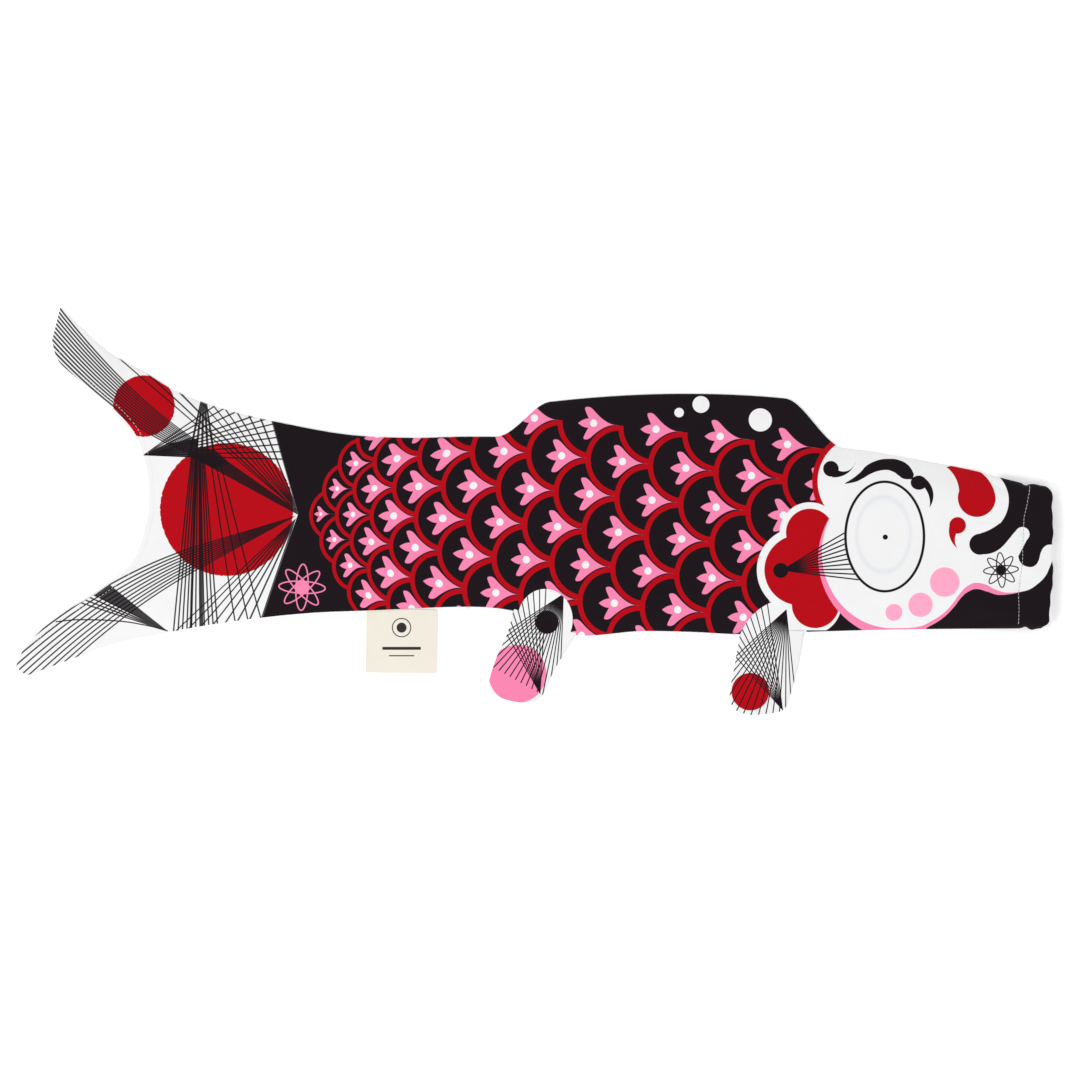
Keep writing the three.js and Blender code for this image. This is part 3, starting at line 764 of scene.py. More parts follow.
def paint_tail(p):
    """White ground that ends in a point, red discs, and the string lines that cross them."""
    white = p.left_of(TAIL_POINT, (-176.5, 60.7)) & p.left_of((-183.3, -72.0), TAIL_POINT)
    p.paint(white, WHITE)
    wobble = p.noise(0.6, 2) * 1.6 - 0.8
    for x, y, radius in ((-207.2, 1.3, 44.9), (-263.0, 71.1, 20.8)):
        p.paint((p.distance(x, y) + wobble).under(radius) & white, RED)
    ink = white * 0.955

    # the strings of each lobe are straight once a parabola is taken out of them
    swing = p.x + 323
    upper_plan = p.joined(p.x, swing * swing * -0.00341 + p.y)
    strings = p.fan((-189.3, -32.8), (-321.5, 138.9), (-321.5, 102.0), 12, 1.2, 0.28, 1.25, upper_plan, 0.75)
    p.paint(strings & ink, BLACK)
    swing = (-225 - p.x).at_least(0)
    lower_plan = p.joined(p.x, swing * swing * 0.00212 + p.y)
    strings = p.fan((-159.6, -2.8), (-339.6, -58.0), (-339.6, -100.0), 10, 1.25, 0, 1.2, lower_plan, 0.35)
    p.paint(strings & ink, BLACK)

    for fan in (
            ((-159.0, -0.4), (-277.8, 101.5), (-239.6, 80.7), 3, 1.0, 0, 1.1),
            ((-159.0, -0.4), (-225.8, 75.2), (-176.5, 61.0), 7, 1.0, 0, 1.1),
            ((-263.9, 37.7), (-168.4, 103.9), (-168.4, 71.9), 4, 1.0, 0, 1.1),
            ((-263.9, 37.7), (-168.4, 66.0), (-168.4, 35.2), 7, 1.0, 0, 1.1),
            ((-222.8, 85.5), (-231.5, 40.0), (-216.0, 40.0), 5, 1.6, 0.05, 1.05),
            ((-225.9, 88.3), (-243.0, -78.1), (-213.6, -76.7), 11, 1.05, 0.3, 1.1),
            ((-225.9, 88.3), (-231.5, -77.9), (-224.0, -77.5), 2, 1.8, 0.3, 1.1),
            ((-225.9, 88.3), (-201.7, -74.7), (-184.6, -71.3), 3, 1.0, 0.36, 1.1),
            ((-160.3, -4.5), (-241.7, -80.8), (-183.3, -71.3), 8, 1.0, 0, 1.1),
            ((-247.0, -81.1), (-296.7, -56.5), (-303.4, -62.5), 4, 1.0, 0, 1.1)):
        p.paint(p.fan(*fan) & ink, BLACK)
    for wedge in (
            ((-263.9, 37.9), (-227.0, 36.3), (-226.0, 49.5), (-245.0, 46.2)),
            ((-232.0, 37.3), (-216.0, 28.6), (-205.0, 32.5), (-214.0, 40.7), (-225.0, 44.0)),
            ((-232.0, 37.3), (-159.0, -2.4), (-159.0, 0.6), (-205.0, 32.8), (-215.0, 38.0)),
            ((-247.0, -81.1), (-285.9, -49.7), (-296.7, -56.5))):
        p.paint(p.polygon(*reversed(wedge) if clockwise(wedge) else wedge) & ink, BLACK)
    stray = [(-323.0, -74.6), (-305.0, -73.2), (-283.0, -73.9), (-263.7, -76.6), (-247.2, -80.8)]
    p.paint(p.traced(stray, 0.9) & ink, BLACK)


# ---------- the fins' prints, which run on over the body ----------


def spokes(apex, first_angle, last_angle, reach, lines):
    """A fan's apex, far points and number of lines, from the angles of its first and last line."""
    ends = [(apex[0] + reach * math.cos(math.radians(a)), apex[1] + reach * math.sin(math.radians(a)))
            for a in (first_angle, last_angle)]
    return apex, *ends, lines


def paint_fin(p, ground, disc, colour, wide_fan, narrow_fan):
    """A disc at the fin's tip and two fans of lines across each other."""
    p.paint(p.disc(*disc) & ground, colour)
    for fan, width in ((wide_fan, 0.8), (narrow_fan, 0.75)):
        p.paint(p.fan(*spokes(*fan), width) & ground, BLACK)


def paint_pelvic(p, ground):
    paint_fin(p, ground, (-10.9, -109.8, 19.6), PINK, ((20.4, -55.4), -146, -92.5, 75, 17),
              ((4.6, -123.9), 119, 87, 75, 10))
    p.paint(p.disc(9.1, -74.9, 7.9), BLACK)


def paint_pectoral(p, ground):
    paint_fin(p, ground, (146.5, -121.9, 12.7), RED, ((170.8, -66.0), -136.7, -84, 85, 16),
              ((168.7, -135.0), 131, 98.5, 90, 10))


# ---------- the head's print ----------

GILL_LOBES = ((186.4, -14.3, 16.1), (179.6, -39.6, 23.8), (190.3, -62.9, 16.0))
GILL_EDGES = ((186.4, -14.3, 20.4), (179.6, -39.6, 28.9), (187.3, -62.9, 20.4))
FACE_END_X = 265.5  # where the round of the cheek becomes the line of the chin
CHIN = [(265.5, -78.8), (275.3, -72.8), (283.5, -64.6), (288.4, -58.0), (292.7, -54.3), (298.5, -52.3),
        (305.2, -53.9), (314.3, -56.3), (321.5, -55.7), (327.3, -54.5), (333.8, -52.8), (339.6, -49.0),
        (344.6, -44.1), (347.5, -38.4), (350.0, -32.0)]
CHEEK_X = 243.0  # where the inside of the cheek line stops being an oval
CHEEK_INSIDE = [(240.0, -79.0), (245.0, -78.95), (256.0, -78.6), (262.4, -77.3), (268.2, -74.4),
                (276.8, -68.6), (282.6, -62.1), (288.4, -54.2), (292.7, -50.3), (298.5, -48.2),
                (304.2, -49.2), (311.5, -52.8), (320.1, -54.8), (327.0, -54.6)]
BROW_TOP = [(210.1, 19.0), (215.6, 22.4), (220.6, 26.4), (224.9, 30.9), (230.7, 33.9), (236.5, 35.4),
            (242.2, 35.5), (248.0, 34.3), (252.3, 31.9), (255.2, 28.4), (256.7, 25.1)]
BROW_UNDERSIDE = [(210.1, 18.5), (216.3, 19.6), (222.0, 22.1), (227.8, 25.4), (233.6, 27.4), (237.9, 27.9),
                  (242.2, 26.9), (246.6, 24.0), (250.9, 21.7), (254.5, 21.6), (256.7, 24.6)]
ARM_UNDERSIDE = [(299.0, -28.9), (303.5, -29.0), (308.6, -28.2), (312.6, -26.4), (315.8, -23.9),
                 (320.1, -19.1), (324.4, -13.9), (327.3, -11.3), (330.1, -10.6)]
ARM_TOP = [(299.0, -15.5), (305.7, -13.2), (310.0, -10.9), (314.4, -7.9)]
LIP_DROP = [(326.6, -30.4), (328.0, -34.3), (331.6, -37.0), (335.0, -37.6), (338.1, -36.4), (340.3, -33.3),
            (342.0, -27.5), (344.3, -23.9), (346.8, -22.6), (351.0, -22.4)]


def any_disc(p, discs):
    mask = p.disc(*discs[0])
    for disc in discs[1:]:
        mask = mask | p.disc(*disc)
    return mask


def paint_face(p):
    """White face with a red rim, black chin, red gill with a white edge, pink cheek line and the eye."""
    face = p.oval(249.5, -31.6, 57.3, 55.2)
    edge = any_disc(p, GILL_EDGES)
    fin_ground = p.disc(175, -96, 37.5) & ~p.east(184.6)
    p.paint(p.disc(222.5, 20.0, 34.5) & ~p.east(222.5), RED)
    p.paint(face | edge | fin_ground | p.disc(222.5, 20.0, 30.8) | p.east(222.5), WHITE)

    chin = p.below(CHIN) & p.east(FACE_END_X)
    throat = p.east(190) & ~p.north(-50) & ~p.east(FACE_END_X) & ~face & ~edge & ~fin_ground
    p.paint(chin | throat | p.east(184.5) & ~p.north(-80.4) & ~p.east(212), BLACK)
    gill = any_disc(p, GILL_LOBES) & ~face
    p.paint(gill, RED)
    paint_pectoral(p, fin_ground & ~gill)

    side = ~p.oval(243.0, -28.0, 48.5, 51.0) & ~p.north(-4) & ~p.east(CHEEK_X)
    under = p.below(CHEEK_INSIDE) & p.east(CHEEK_X)
    p.paint((face | p.east(FACE_END_X)) & (side | under) & ~chin & ~p.east(327), PINK)
    for disc in ((277.1, -47.7, 9.9), (261.0, -63.1, 8.2), (243.2, -68.2, 5.7)):
        p.paint(p.disc(*disc), CHEEK)

    knot = (166.8, -39.9)
    ring = p.oval(236.8, -17.0, 27.3, 37.8)
    lashes = p.fan(knot, (209.7, -14.6), (217.4, -45.9), 10, 1.0, 0, 1.15) & ~ring
    p.paint(lashes | ring | p.disc(*knot, 5.1), BLACK)
    p.paint(p.oval(236.8, -17.0, 25.5, 36.05), WHITE)
    away = abs(p.vector("LENGTH", p.oval_place(236.0, -15.6, 18.0, 25.2)) - 1)
    p.paint(away.under(0.04, 0.14) * 0.7, GREY)
    p.paint(p.disc(237.2, -17.4, 1.75), BLACK)


def comma(p, head, outer, hollow, limits):
    """A round head with a tail that is a disc less another disc, kept inside the limits."""
    return head | p.disc(*outer) & limits & ~p.disc(*hollow)


def paint_marks(p):
    """Brows, the red marks on the forehead, the black round the mouth, and the small ringed mark."""
    p.paint(p.below(BROW_TOP) & ~p.below(BROW_UNDERSIDE) & p.beside(BROW_TOP), BLACK)
    p.paint(comma(p, p.disc(200.7, 28.7, 5.3), (203.0, 38.3, 15.4), (209.2, 35.3, 8.4),
                  p.east(201.5) & ~p.north(33.0)), BLACK)
    p.paint(comma(p, p.oval(259.9, 19.3, 5.5, 4.8), (255.1, 10.9, 14.5), (250.0, 5.6, 17.2),
                  p.east(260.5) & p.north(2.0)), BLACK)
    p.paint(comma(p, p.disc(298.7, 8.9, 12.7), (287.5, 7.5, 23.9), (266.0, 13.5, 20.9), p.north(9.0)), RED)
    p.paint(comma(p, p.disc(285.8, -9.5, 5.6), (294.8, -13.2, 14.9), (294.7, -19.3, 10.7),
                  ~p.east(288.2) & ~p.north(-9.5)), RED)

    cap = p.disc(296.2, 7.5, 24.0) & p.north(-8.0)
    arm = p.east(301.0) & (p.below(ARM_TOP) | p.east(314.4)) & ~p.below(ARM_UNDERSIDE) & ~cap
    corner = p.east(300.0) & p.north(-8.0) & ~cap
    beside_arm = p.left_of((326.6, -30.4), (334.3, -15.6)) & ~p.north(-15.4)
    lip = p.east(326.4) & ~p.north(-9.5) & ~p.below(LIP_DROP) & ~beside_arm
    p.paint((arm | corner | lip | p.disc(300.8, -22.2, 7.1)) & ~p.disc(329.4, -15.4, 4.8), BLACK)
    p.paint(p.orbits(315.0, -39.6, 11.7, 2.9, 0.8, 2.9, 4), BLACK)
    for disc in ((98.3, 66.7, 3.2), (113.1, 72.2, 5.7), (153.1, 61.7, 7.8)):
        p.paint(p.disc(*disc), WHITE)


def paint_trunk(p):
    egg = p.oval(7.8, -73.3, 18.6, 20.9)
    p.paint(egg, WHITE)
    paint_pelvic(p, egg)


def paint_tail_mark(p):
    p.paint(p.orbits(-156.3, -51.3, 15.6, 4.1, 0.85, 4.7, -3), PINK)


def printed(name, ground, *painters):
    p = Print(name + "_print", ground)
    for paint in painters:
        paint(p)
    return p.cloth_surface()


materials = {
    "head": printed("head", BLACK, paint_scales, paint_face, paint_marks),
    "trunk": printed("trunk", BLACK, paint_scales, paint_trunk),
    "rear": printed("rear", BLACK, paint_scales),
    "tail": printed("tail", BLACK, paint_scales, paint_tail_mark, paint_tail),
    "lobe": printed("lobe", WHITE, paint_tail),
    "pectoral": printed("pectoral", WHITE, lambda p: paint_pectoral(p, 1.0)),
    "pelvic": printed("pelvic", WHITE, lambda p: paint_pelvic(p, 1.0)),
}

# ---------- the tube ----------

HEAD_BACK_X = 66.0
TRUNK_BACK_X = -16.0
REAR_BACK_X = -113.0


def steps_of(length, pitch=2.0):
    return np.linspace(0, 1, int(round(length / pitch)) + 1)


def flat_area(place):
    """Area of a patch on the plan, in square metres, from the cross product of its grid's steps."""
    u = np.linspace(0, 1, 200)
    grid = place(*np.meshgrid(u, u, indexing="ij"))
    a, b = grid[1:, :-1] - grid[:-1, :-1], grid[:-1, 1:] - grid[:-1, :-1]
    return float(np.abs(a[..., 0] * b[..., 1] - a[..., 1] * b[..., 0]).sum()) * MM ** 2


def declare(flat, area, nodes):
    min(area, flat[0] * flat[1])
    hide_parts(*nodes)


def mouth_shaped(place):
    """The head's patch with its mouth corners rounded, its rim slightly uneven and its casing drawn in."""
    middle = (upper(CASING_X) + lower(CASING_X)) / 2
    half = (upper(CASING_X) - lower(CASING_X)) / 2

    def shaped(u, v):
        plan = place(u, v)
        x, y = plan[..., 0], plan[..., 1]
        corner = np.where(y > middle, 8.0, 4.0)
        over = np.clip((np.abs(y - middle) - half + corner + 1.0) / corner, 0, 1)
        near_rim = smooth(x, CASING_X - 3, MOUTH_X)
        uneven = 0.35 * np.sin(0.21 * y + 1) + 0.25 * np.sin(0.53 * y)
        uneven = uneven + 3.0 * smooth(-y, 45, 80)
        pulled = x - near_rim * (1.1 + uneven + corner * (1 - np.sqrt(1 - 0.98 * over ** 2)))
        side = np.clip((y - middle) / half, -1, 1)
        drawn = 1.2 * np.exp(-((x - 333) / 3) ** 2) - 0.9 * np.exp(-((x - 342) / 5) ** 2)
        return np.stack([pulled, y - side ** 3 * drawn], -1)

    return shaped


def tube_piece(name, start_x, end_x, material, nodes, hem=None):
    place = between(run_along(on_lower, start_x, end_x), run_along(on_upper, start_x, end_x))
    if hem is not None:
        place = mouth_shaped(place)
    length = abs(end_x - start_x)
    surface = double_cloth(place, steps_of(length, 1.5), 72, ("low", "high"), hem=hem)
    piece = cloth_piece(name, surface, material)
    area = 2 * flat_area(place)
    width = 2 * max(upper(x) - lower(x) for x in np.linspace(start_x, end_x, 50)) * MM
    declare((width, length * MM), area, nodes)
    return piece


def build_tube():
    head = tube_piece("head_cloth", HEAD_BACK_X, MOUTH_X, materials["head"],
                      ["head_panel_near", "head_panel_far", "head_back_seam", "chin_seam", "breast_seam",
                       "mouth_casing"], hem=(0.95, CASING_DEPTH))
    trunk = tube_piece("trunk_cloth", TRUNK_BACK_X, HEAD_BACK_X, materials["trunk"],
                       ["trunk_panel_near", "trunk_panel_far", "trunk_back_seam", "trunk_belly_seam",
                        "waist_belly_seam"])
    rear = tube_piece("rear_cloth", REAR_BACK_X, TRUNK_BACK_X, materials["rear"],
                      ["rear_panel_near", "rear_panel_far", "rear_back_seam", "rear_belly_seam"])
    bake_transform(head)
    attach(trunk, "trunk")
    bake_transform(rear)


# ---------- the tail and its lobes ----------


class Bend:
    """The line from a place on the vent edge to one on the outer edge, at the root of a lobe."""

    def __init__(self, share, rim_x, edge, side):
        self.root = vent_edge(share)
        self.rim = edge(rim_x)
        run = self.rim - self.root
        self.out = np.array([-run[1], run[0]]) * side / np.linalg.norm(run)

    def where(self, curve, start, end, distance):
        """The share of a curve that lies a distance past the line, by halving."""
        def reach(t):
            return float(np.dot(curve(t) - self.root, self.out)) - distance
        low, high = start, end
        for _ in range(40):
            middle = (low + high) / 2
            if reach(low) * reach(middle) <= 0:
                high = middle
            else:
                low = middle
        return (low + high) / 2


upper_bend = Bend(0.3, TAIL_END_X + 104, on_upper, 1)
lower_bend = Bend(0.71, TAIL_END_X + 74, on_lower, -1)
LOBE_LAP = -6.0  # where a lobe's cloth ends, this side of its bend
LOBE_TURN = 16.0  # a distance past the bend, on the lobe's side


def build_tail():
    upper_vent = upper_bend.where(vent_edge, 0, 0.45, LOBE_LAP)
    lower_vent = lower_bend.where(vent_edge, 1, 0.55, LOBE_LAP)
    upper_rim = upper_bend.where(on_upper, TAIL_END_X + 60, TAIL_X, LOBE_LAP)
    lower_rim = lower_bend.where(on_lower, TAIL_END_X + 20, TAIL_X, LOBE_LAP)
    hollow = run_along(vent_edge, lower_vent, upper_vent)
    bottom, top = on_lower(lower_rim), on_upper(upper_rim)
    share = 0.22

    def left(t):
        t = np.asarray(t, float)
        first = straight(bottom, hollow(0.0))(np.clip(t / share, 0, 1))
        last = straight(hollow(1.0), top)(np.clip((t - 1 + share) / share, 0, 1))
        middle = hollow(np.clip((t - share) / (1 - 2 * share), 0, 1))
        return np.where((t < share)[..., None], first, np.where((t > 1 - share)[..., None], last, middle))

    front = REAR_BACK_X
    place = patch(run_along(on_lower, lower_rim, front), run_along(on_upper, upper_rim, front), left,
                  straight(on_lower(front), on_upper(front)))
    tail = cloth_piece("tail_cloth", double_cloth(place, steps_of(150), 100, ("low", "high")),
                       materials["tail"])
    declare((0.33, 0.17), 2 * flat_area(place),
            ["tail_panel_near", "tail_panel_far", "tail_back_seam", "tail_belly_seam", "vent_hem_near",
             "vent_hem_far"])
    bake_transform(tail)

    outer = run_along(on_upper, TAIL_END_X + 30, upper_rim)
    inner = run_along(vent_edge, 0, upper_vent)
    upper_turn = build_lobe("upper_lobe", upper_bend, between(inner, outer), ("high", "left"))
    outer = run_along(on_lower, TAIL_END_X + 7, lower_rim)
    inner = run_along(vent_edge, 1, lower_vent)
    lower_turn = build_lobe("lower_lobe", lower_bend, between(outer, inner), ("low", "left"))
    return upper_turn, lower_turn


def flap_nodes(name):
    return [name + "_near", name + "_far", name + "_seam"]


def build_lobe(name, bend, place, closed):
    u = np.concatenate([[0, 0.002, 0.006, 0.012], np.linspace(0.02, 1, 60)])
    piece = cloth_piece(name + "_cloth", double_cloth(place, u, 24, closed), materials["lobe"])
    declare((0.13, 0.12), 2 * flat_area(place), flap_nodes(name))
    middle = (bend.root + bend.rim) / 2
    start, end = ((*((middle + bend.out * distance) * MM), 0.003) for distance in (LOBE_LAP + 1, LOBE_TURN))
    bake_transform(piece)
    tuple(start)
    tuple(end)
    return start, end


# ---------- fins ----------


def fin_place(root, turn, outline):
    """A fin's patch: outline points are [along the root, out from it], turned about the root's rear end."""
    along = np.array([math.cos(turn), math.sin(turn)])
    out = np.array([math.sin(turn), -math.cos(turn)])
    edge = curve_through([np.array(root) + a * along + b * out for a, b in outline])
    left, tip, right = run_along(edge, 0.4, 0), run_along(edge, 0.4, 0.6), run_along(edge, 0.6, 1)
    return patch(tip, straight(edge(0.0), edge(1.0)), left, right)


def fin_top(x, y):
    """Top of a fin's near cloth, lifted a little by long waves."""
    return 2 * SEAM_MIDDLE + 0.5 + 0.5 * soft_waves(2 * x, 2 * y)


def build_fin(name, place, root_line, material, flat):
    fold = np.array([0, 0.003, 0.008, 0.015, 0.03])
    u = np.concatenate([fold, np.linspace(0.05, 0.95, 40), 1 - fold[::-1]])
    surface = double_cloth(place, u, 50, ("low", "left", "right"), fin_top, SEAM_MIDDLE)
    piece = cloth_piece(name + "_cloth", surface, material)
    declare(flat, 2 * flat_area(place), flap_nodes(name))
    root, across = (np.array(v, float) for v in root_line)
    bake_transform(piece)


def build_fins():
    drop = 55.5
    rear_x = MOUTH_X - 210
    root = (rear_x, (float(lower(rear_x)) + float(lower(MOUTH_X - 167))) / 2)
    place = fin_place(root, 0, [
        (0, -1.5), (-4.5, drop * 0.44), (-7.5, drop * 0.75), (-4, drop * 0.93), (5.5, drop),
        (25, drop * 0.965), (30.5, drop * 0.9), (34, drop * 0.72), (40, drop * 0.32), (43, -1.5)])
    build_fin("pectoral_fin", place, ((root[0] + 21, root[1]), (0, -1)), materials["pectoral"],
              (0.10, 0.06))
    drop = 58
    turn = -PELVIC_CLIMB
    rear_x = PELVIC_FRONT_X - PELVIC_RUN
    root = (rear_x, float(lower(rear_x)))
    place = fin_place(root, turn, [
        (0, -1.5), (2, drop * 0.26), (1, drop * 0.6), (3, drop * 0.915), (12, drop), (32, drop * 0.94),
        (39, drop * 0.8), (40.5, drop * 0.465), (PELVIC_ROOT, -1.5)])
    middle = (root[0] + PELVIC_RUN / 2, root[1] - PELVIC_RISE / 2)
    build_fin("pelvic_fin", place, (middle, (math.sin(turn), -math.cos(turn))), materials["pelvic"],
              (0.10, 0.063))


# ---------- thread, label and hoop ----------


def stitches(name, starts, ends, material, thick=0.46, sag=0.25):
    """One mesh of capsules, one for each stitch from a start to an end, with both ends sunk into the cloth.

    Around each stitch's axis runs a circle; along it the radius is thick / 2 times sqrt(1 - s^4) for s from
    -1 to 1, and the height falls by sag times s^4.
    """
    s = np.array([-1, -0.9, -0.6, 0, 0.6, 0.9, 1.0])
    turn = np.arange(8) / 8 * 2 * np.pi
    middle, half = (starts + ends) / 2, (ends - starts) / 2
    length = np.linalg.norm(half, axis=1, keepdims=True)
    along = half / length
    side = np.cross(UP, along)
    side /= np.linalg.norm(side, axis=1, keepdims=True)
    lift = np.cross(along, side)
    radius = thick / 2 * np.maximum(np.sqrt(1 - s ** 4), 0.02)
    centre = middle[:, None] + s[None, :, None] * half[:, None] - sag * (s ** 4)[None, :, None] * UP
    around = (np.cos(turn)[None, None, :, None] * side[:, None, None]
              + np.sin(turn)[None, None, :, None] * lift[:, None, None])
    points = centre[:, :, None] + radius[None, :, None, None] * around
    index = np.arange(points[..., 0].size).reshape(points.shape[:3])
    index = np.concatenate([index, index[:, :, :1]], axis=2)
    faces = [grid_faces(one)[:, ::-1] for one in index]
    for k in range(1, 6, 2):
        corners = [0, k, k + 1, k + 2]
        faces += [index[:, 0, corners[::-1]], index[:, -1, corners]]
    points = points.reshape(-1, 3)
    return add_mesh(name, points, np.concatenate(faces), points[:, :2], material)


def fine_material(name, dark, light, noise, bump, finish, plies=None):
    """Two tones in a fine noise, with a bump from the same noise, or from the slanted plies of a thread."""
    material = bpy.data.materials.new(name)
    material.use_nodes = True
    tree = material.node_tree
    place = new_node(tree, "ShaderNodeTexCoord").outputs["Object"]
    tone = new_node(tree, "ShaderNodeTexNoise", place, named=noise).outputs[0]
    height = tone
    if plies is not None:
        wave = new_node(tree, "ShaderNodeTexWave", place, named={"Scale": plies}, bands_direction="DIAGONAL")
        height = wave.outputs[1]
    shader = tree.nodes["Principled BSDF"]
    relief = new_node(tree, "ShaderNodeBump", named={**bump, "Height": height})
    colour = mixed(tree, tone, (*dark, 1), (*light, 1))
    for socket, value in {"Base Color": colour, "Normal": relief.outputs[0], **finish}.items():
        feed(tree, shader.inputs[socket], value)
    return material


def thread_material(name, colour):
    """Twisted thread with a little change of tone from stitch to stitch."""
    return fine_material(name, [0.78 * c for c in colour], colour, {"Scale": 260},
                         {"Strength": 0.6, "Distance": 0.00008},
                         {"Roughness": 0.55, "Specular IOR Level": 0.3}, plies=900)


def hoop_material():
    """Clear, slightly milky plastic."""
    return fine_material("hoop_plastic", (0.62, 0.64, 0.66), (0.80, 0.81, 0.82), {"Scale": 180, "Detail": 5},
                         {"Strength": 0.2, "Distance": 0.00005}, {"Roughness": 0.32})


CASING_STITCH = 2.25, 2.4  # length, and from one stitch to the next
HEM_STITCH = 2.1, 2.6
HEM_INSET = 3.2


def build_casing_stitches():
    """A row of stitches right through the casing, seen on both sides."""
    length, pitch = CASING_STITCH
    y = np.arange(lower(CASING_X) + 3, upper(CASING_X) - 3, pitch)
    slant = 0.12 * np.sin(1.7 * np.arange(len(y)))
    plans = (np.stack([stitch_line(y) + slant, y], -1),
             np.stack([stitch_line(y + length) - slant, y + length], -1))
    starts, ends = (np.vstack([np.hstack([plan, (height + lift)[:, None]])
                               for height, lift in zip(skin_heights(plan), (0.05, 0))]) for plan in plans)
    piece = stitches("casing_thread", starts, ends, thread_material("casing_thread", (0.50, 0.47, 0.51)))
    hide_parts("casing_stitching")
    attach(piece, "head")


def build_hem_stitches(upper_turn, lower_turn):
    """White stitches beside the open edge of the tail, in one piece for the tail and one for each lobe."""
    cuts = [upper_bend.where(vent_edge, 0, 0.45, 0), lower_bend.where(vent_edge, 1, 0.55, 0)]
    t = np.linspace(0, 1, 2001)
    run = np.concatenate([[0], np.cumsum(np.linalg.norm(np.diff(vent_edge(t), axis=0), axis=1))])
    length, pitch = HEM_STITCH

    def at(distance):
        share = np.interp(distance, run, t)
        ahead = vent_edge(share + 0.002) - vent_edge(share - 0.002)
        across = np.stack([-ahead[:, 1], ahead[:, 0]], -1) / np.linalg.norm(ahead, axis=1, keepdims=True)
        plan = vent_edge(share) + HEM_INSET * across
        return np.hstack([plan, near_top(plan[:, 0], plan[:, 1])[:, None] - 0.02])

    thread = thread_material("hem_thread", (0.72, 0.72, 0.72))
    for body, first, last, turn in (("tail", *cuts, None), ("upper_lobe", 0.05, cuts[0], upper_turn),
                                    ("lower_lobe", cuts[1], 0.94, lower_turn)):
        distance = np.arange(np.interp(first, t, run) + 0.5, np.interp(last, t, run) - length, pitch)
        piece = stitches(body + "_hem_thread", at(distance), at(distance + length), thread, thick=0.30)
        if turn is None:
            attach(piece, body)
        else:
            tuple(turn[0])
            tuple(turn[1])
            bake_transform(piece)


LABEL_CENTRE = (-89.2, -87.6)
LABEL_TILT = -1.0
LABEL_WIDTH = 48.0
LABEL_DROP = 42.6
LABEL_FOLD = 0.5  # radius of the fold at the bottom
LABEL_CLOTH = 0.24
LABEL_CREAM = (0.735, 0.700, 0.610, 1)
LABEL_INK = (0.030, 0.026, 0.026, 1)


def label_print():
    """Cream cotton tape with a plain mark of its own: a ringed disc over two bars."""
    p = Print("label_print", LABEL_CREAM)
    x, y = LABEL_CENTRE
    mark = p.disc(x, y + 9.0, 3.4) | abs(p.distance(x, y + 9.0) - 6.2).under(0.35)
    for level, half, thick in ((-5.0, 13.0, 2.0), (-10.0, 8.5, 0.8)):
        mark = mark | abs(p.y - (y + level)).under(thick / 2) & abs(p.x - x).under(half)
    p.paint(mark, LABEL_INK)
    return p.cloth_surface(roughness=0.9, sheen=0.05)


def build_label():
    """A tape folded in two: from the seam down, round a half circle at the bottom and back up behind."""
    tilt = math.radians(LABEL_TILT)
    way = np.linspace(0, LABEL_DROP, 50)
    down = np.concatenate([way, np.full(9, LABEL_DROP), way[::-1]])
    turn = np.concatenate([np.zeros(50), np.linspace(0, np.pi, 11)[1:-1], np.full(50, np.pi)])
    reach = down + LABEL_FOLD * np.sin(turn)
    a, d = np.meshgrid(LABEL_WIDTH / 2 * np.linspace(-1, 1, 61), reach, indexing="ij")
    fade = np.sin(np.clip(d / LABEL_DROP, 0, 1) * np.pi / 2)
    curl = 0.25 * fade * (np.sin(a * 0.16 + 1) + 0.6 * np.sin(a * 0.31 + d * 0.1)) * np.cos(turn / 2)
    up = LABEL_DROP / 2 - d
    plan = np.stack([LABEL_CENTRE[0] + a * math.cos(tilt) - up * math.sin(tilt),
                     LABEL_CENTRE[1] + a * math.sin(tilt) + up * math.cos(tilt)], -1)
    points = np.dstack([plan, LABEL_FOLD * (1 + np.cos(turn)) + 0.05 + np.maximum(curl, 0)])
    faces = grid_faces(np.arange(a.size).reshape(a.shape))[:, ::-1]
    surface = points.reshape(-1, 3), plan.reshape(-1, 2), faces
    piece = cloth_piece("label_tape", surface, label_print(), LABEL_CLOTH)
    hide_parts("label_ribbon")
    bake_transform(piece)


# ---------- floor, lights and camera ----------

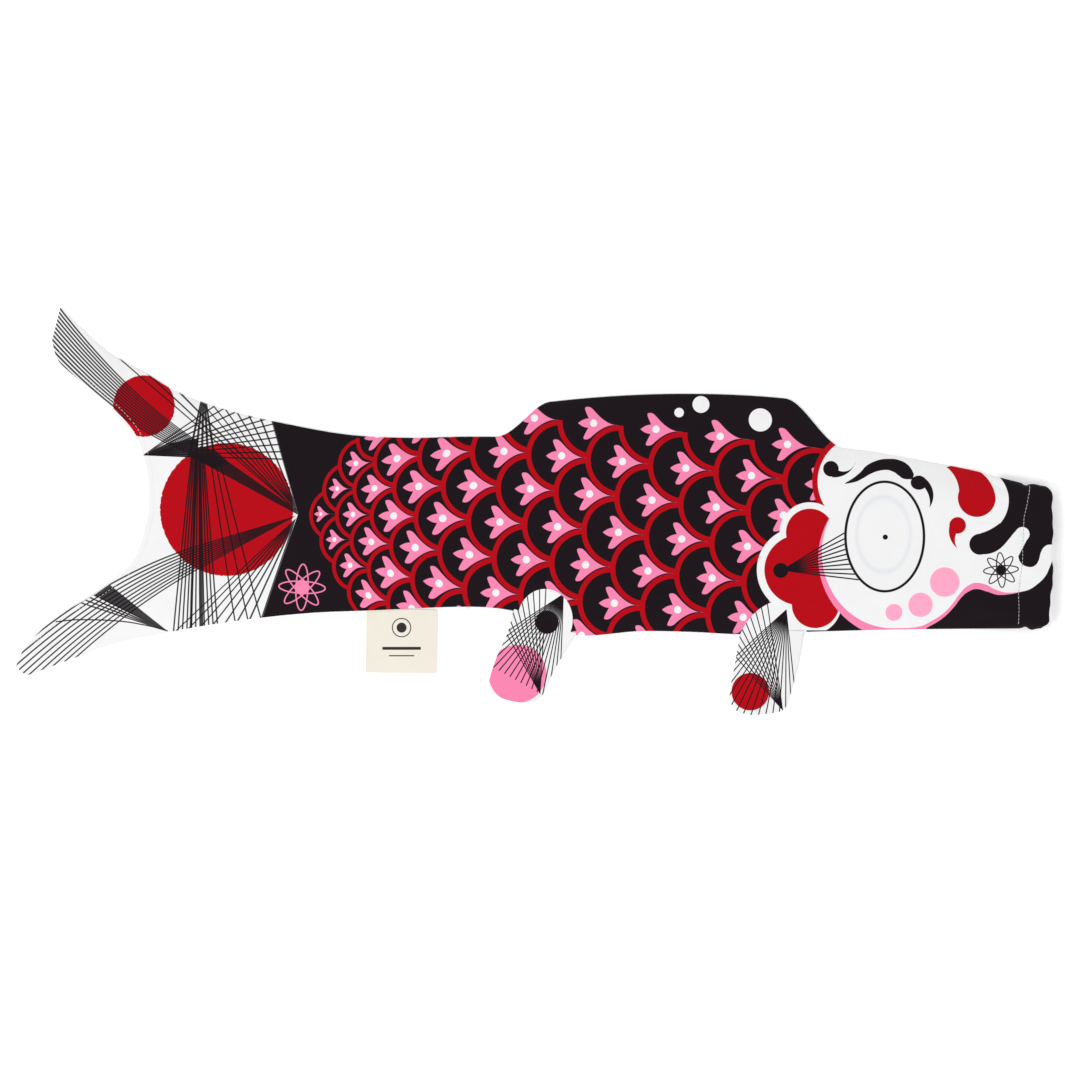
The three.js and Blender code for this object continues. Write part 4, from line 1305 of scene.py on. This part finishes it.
FLOOR_SIDE = 6.0
FLOOR_LEVEL = -0.0004
VIEW_WIDTH = 0.7189
LENS = 200
SENSOR = 36
LIGHTS = {"key": ((-1.5, -1.3, 2.7), 38, 1.4), "fill": ((1.9, 1.6, 3.0), 10, 2.6)}  # place, watts, size


def build_stage():
    """A pale floor just under the cloth, even light from all round, two soft lamps and a camera overhead."""
    scene = bpy.context.scene
    mesh = bpy.data.meshes.new("floor")
    corners = [(x * FLOOR_SIDE, y * FLOOR_SIDE, FLOOR_LEVEL) for x, y in ((-1, -1), (1, -1), (1, 1), (-1, 1))]
    mesh.from_pydata(corners, [], [(0, 1, 2, 3)])
    floor = bpy.data.objects.new("floor", mesh)
    scene.collection.objects.link(floor)
    paper = bpy.data.materials.new("pale_floor")
    paper.use_nodes = True
    shader = paper.node_tree.nodes["Principled BSDF"]
    for socket, value in {"Base Color": (0.99, 0.99, 0.99, 1), "Roughness": 0.95, "Specular IOR Level": 0.0,
                          "Emission Color": (1, 1, 1, 1), "Emission Strength": 0.12}.items():
        shader.inputs[socket].default_value = value
    mesh.materials.append(paper)

    world = bpy.data.worlds.new("studio")
    world.use_nodes = True
    background = world.node_tree.nodes["Background"]
    background.inputs[0].default_value = (1, 1, 1, 1)
    background.inputs[1].default_value = 0.92
    scene.world = world
    for name, (place, power, size) in LIGHTS.items():
        lamp = bpy.data.lights.new(name, "AREA")
        lamp.energy = power
        lamp.size = size
        light = bpy.data.objects.new(name, lamp)
        light.location = place
        light.rotation_euler = (math.atan2(math.hypot(*place[:2]), place[2]), 0,
                                math.atan2(-place[1], -place[0]) - math.pi / 2)
        scene.collection.objects.link(light)

    lens = bpy.data.cameras.new("camera")
    lens.lens = LENS
    lens.sensor_width = SENSOR
    camera = bpy.data.objects.new("camera", lens)
    camera.location = (-0.0007, -0.0143, 0.007 + VIEW_WIDTH * LENS / SENSOR)
    scene.collection.objects.link(camera)
    scene.camera = camera
    scene.view_settings.view_transform = "Standard"


build_stage()
build_tube()
build_hem_stitches(*build_tail())
build_fins()
build_label()
build_casing_stitches()
for node in bpy.data.objects:
    if node.name == "mouth_hoop":
        node.data.materials.clear()
        node.data.materials.append(hoop_material())
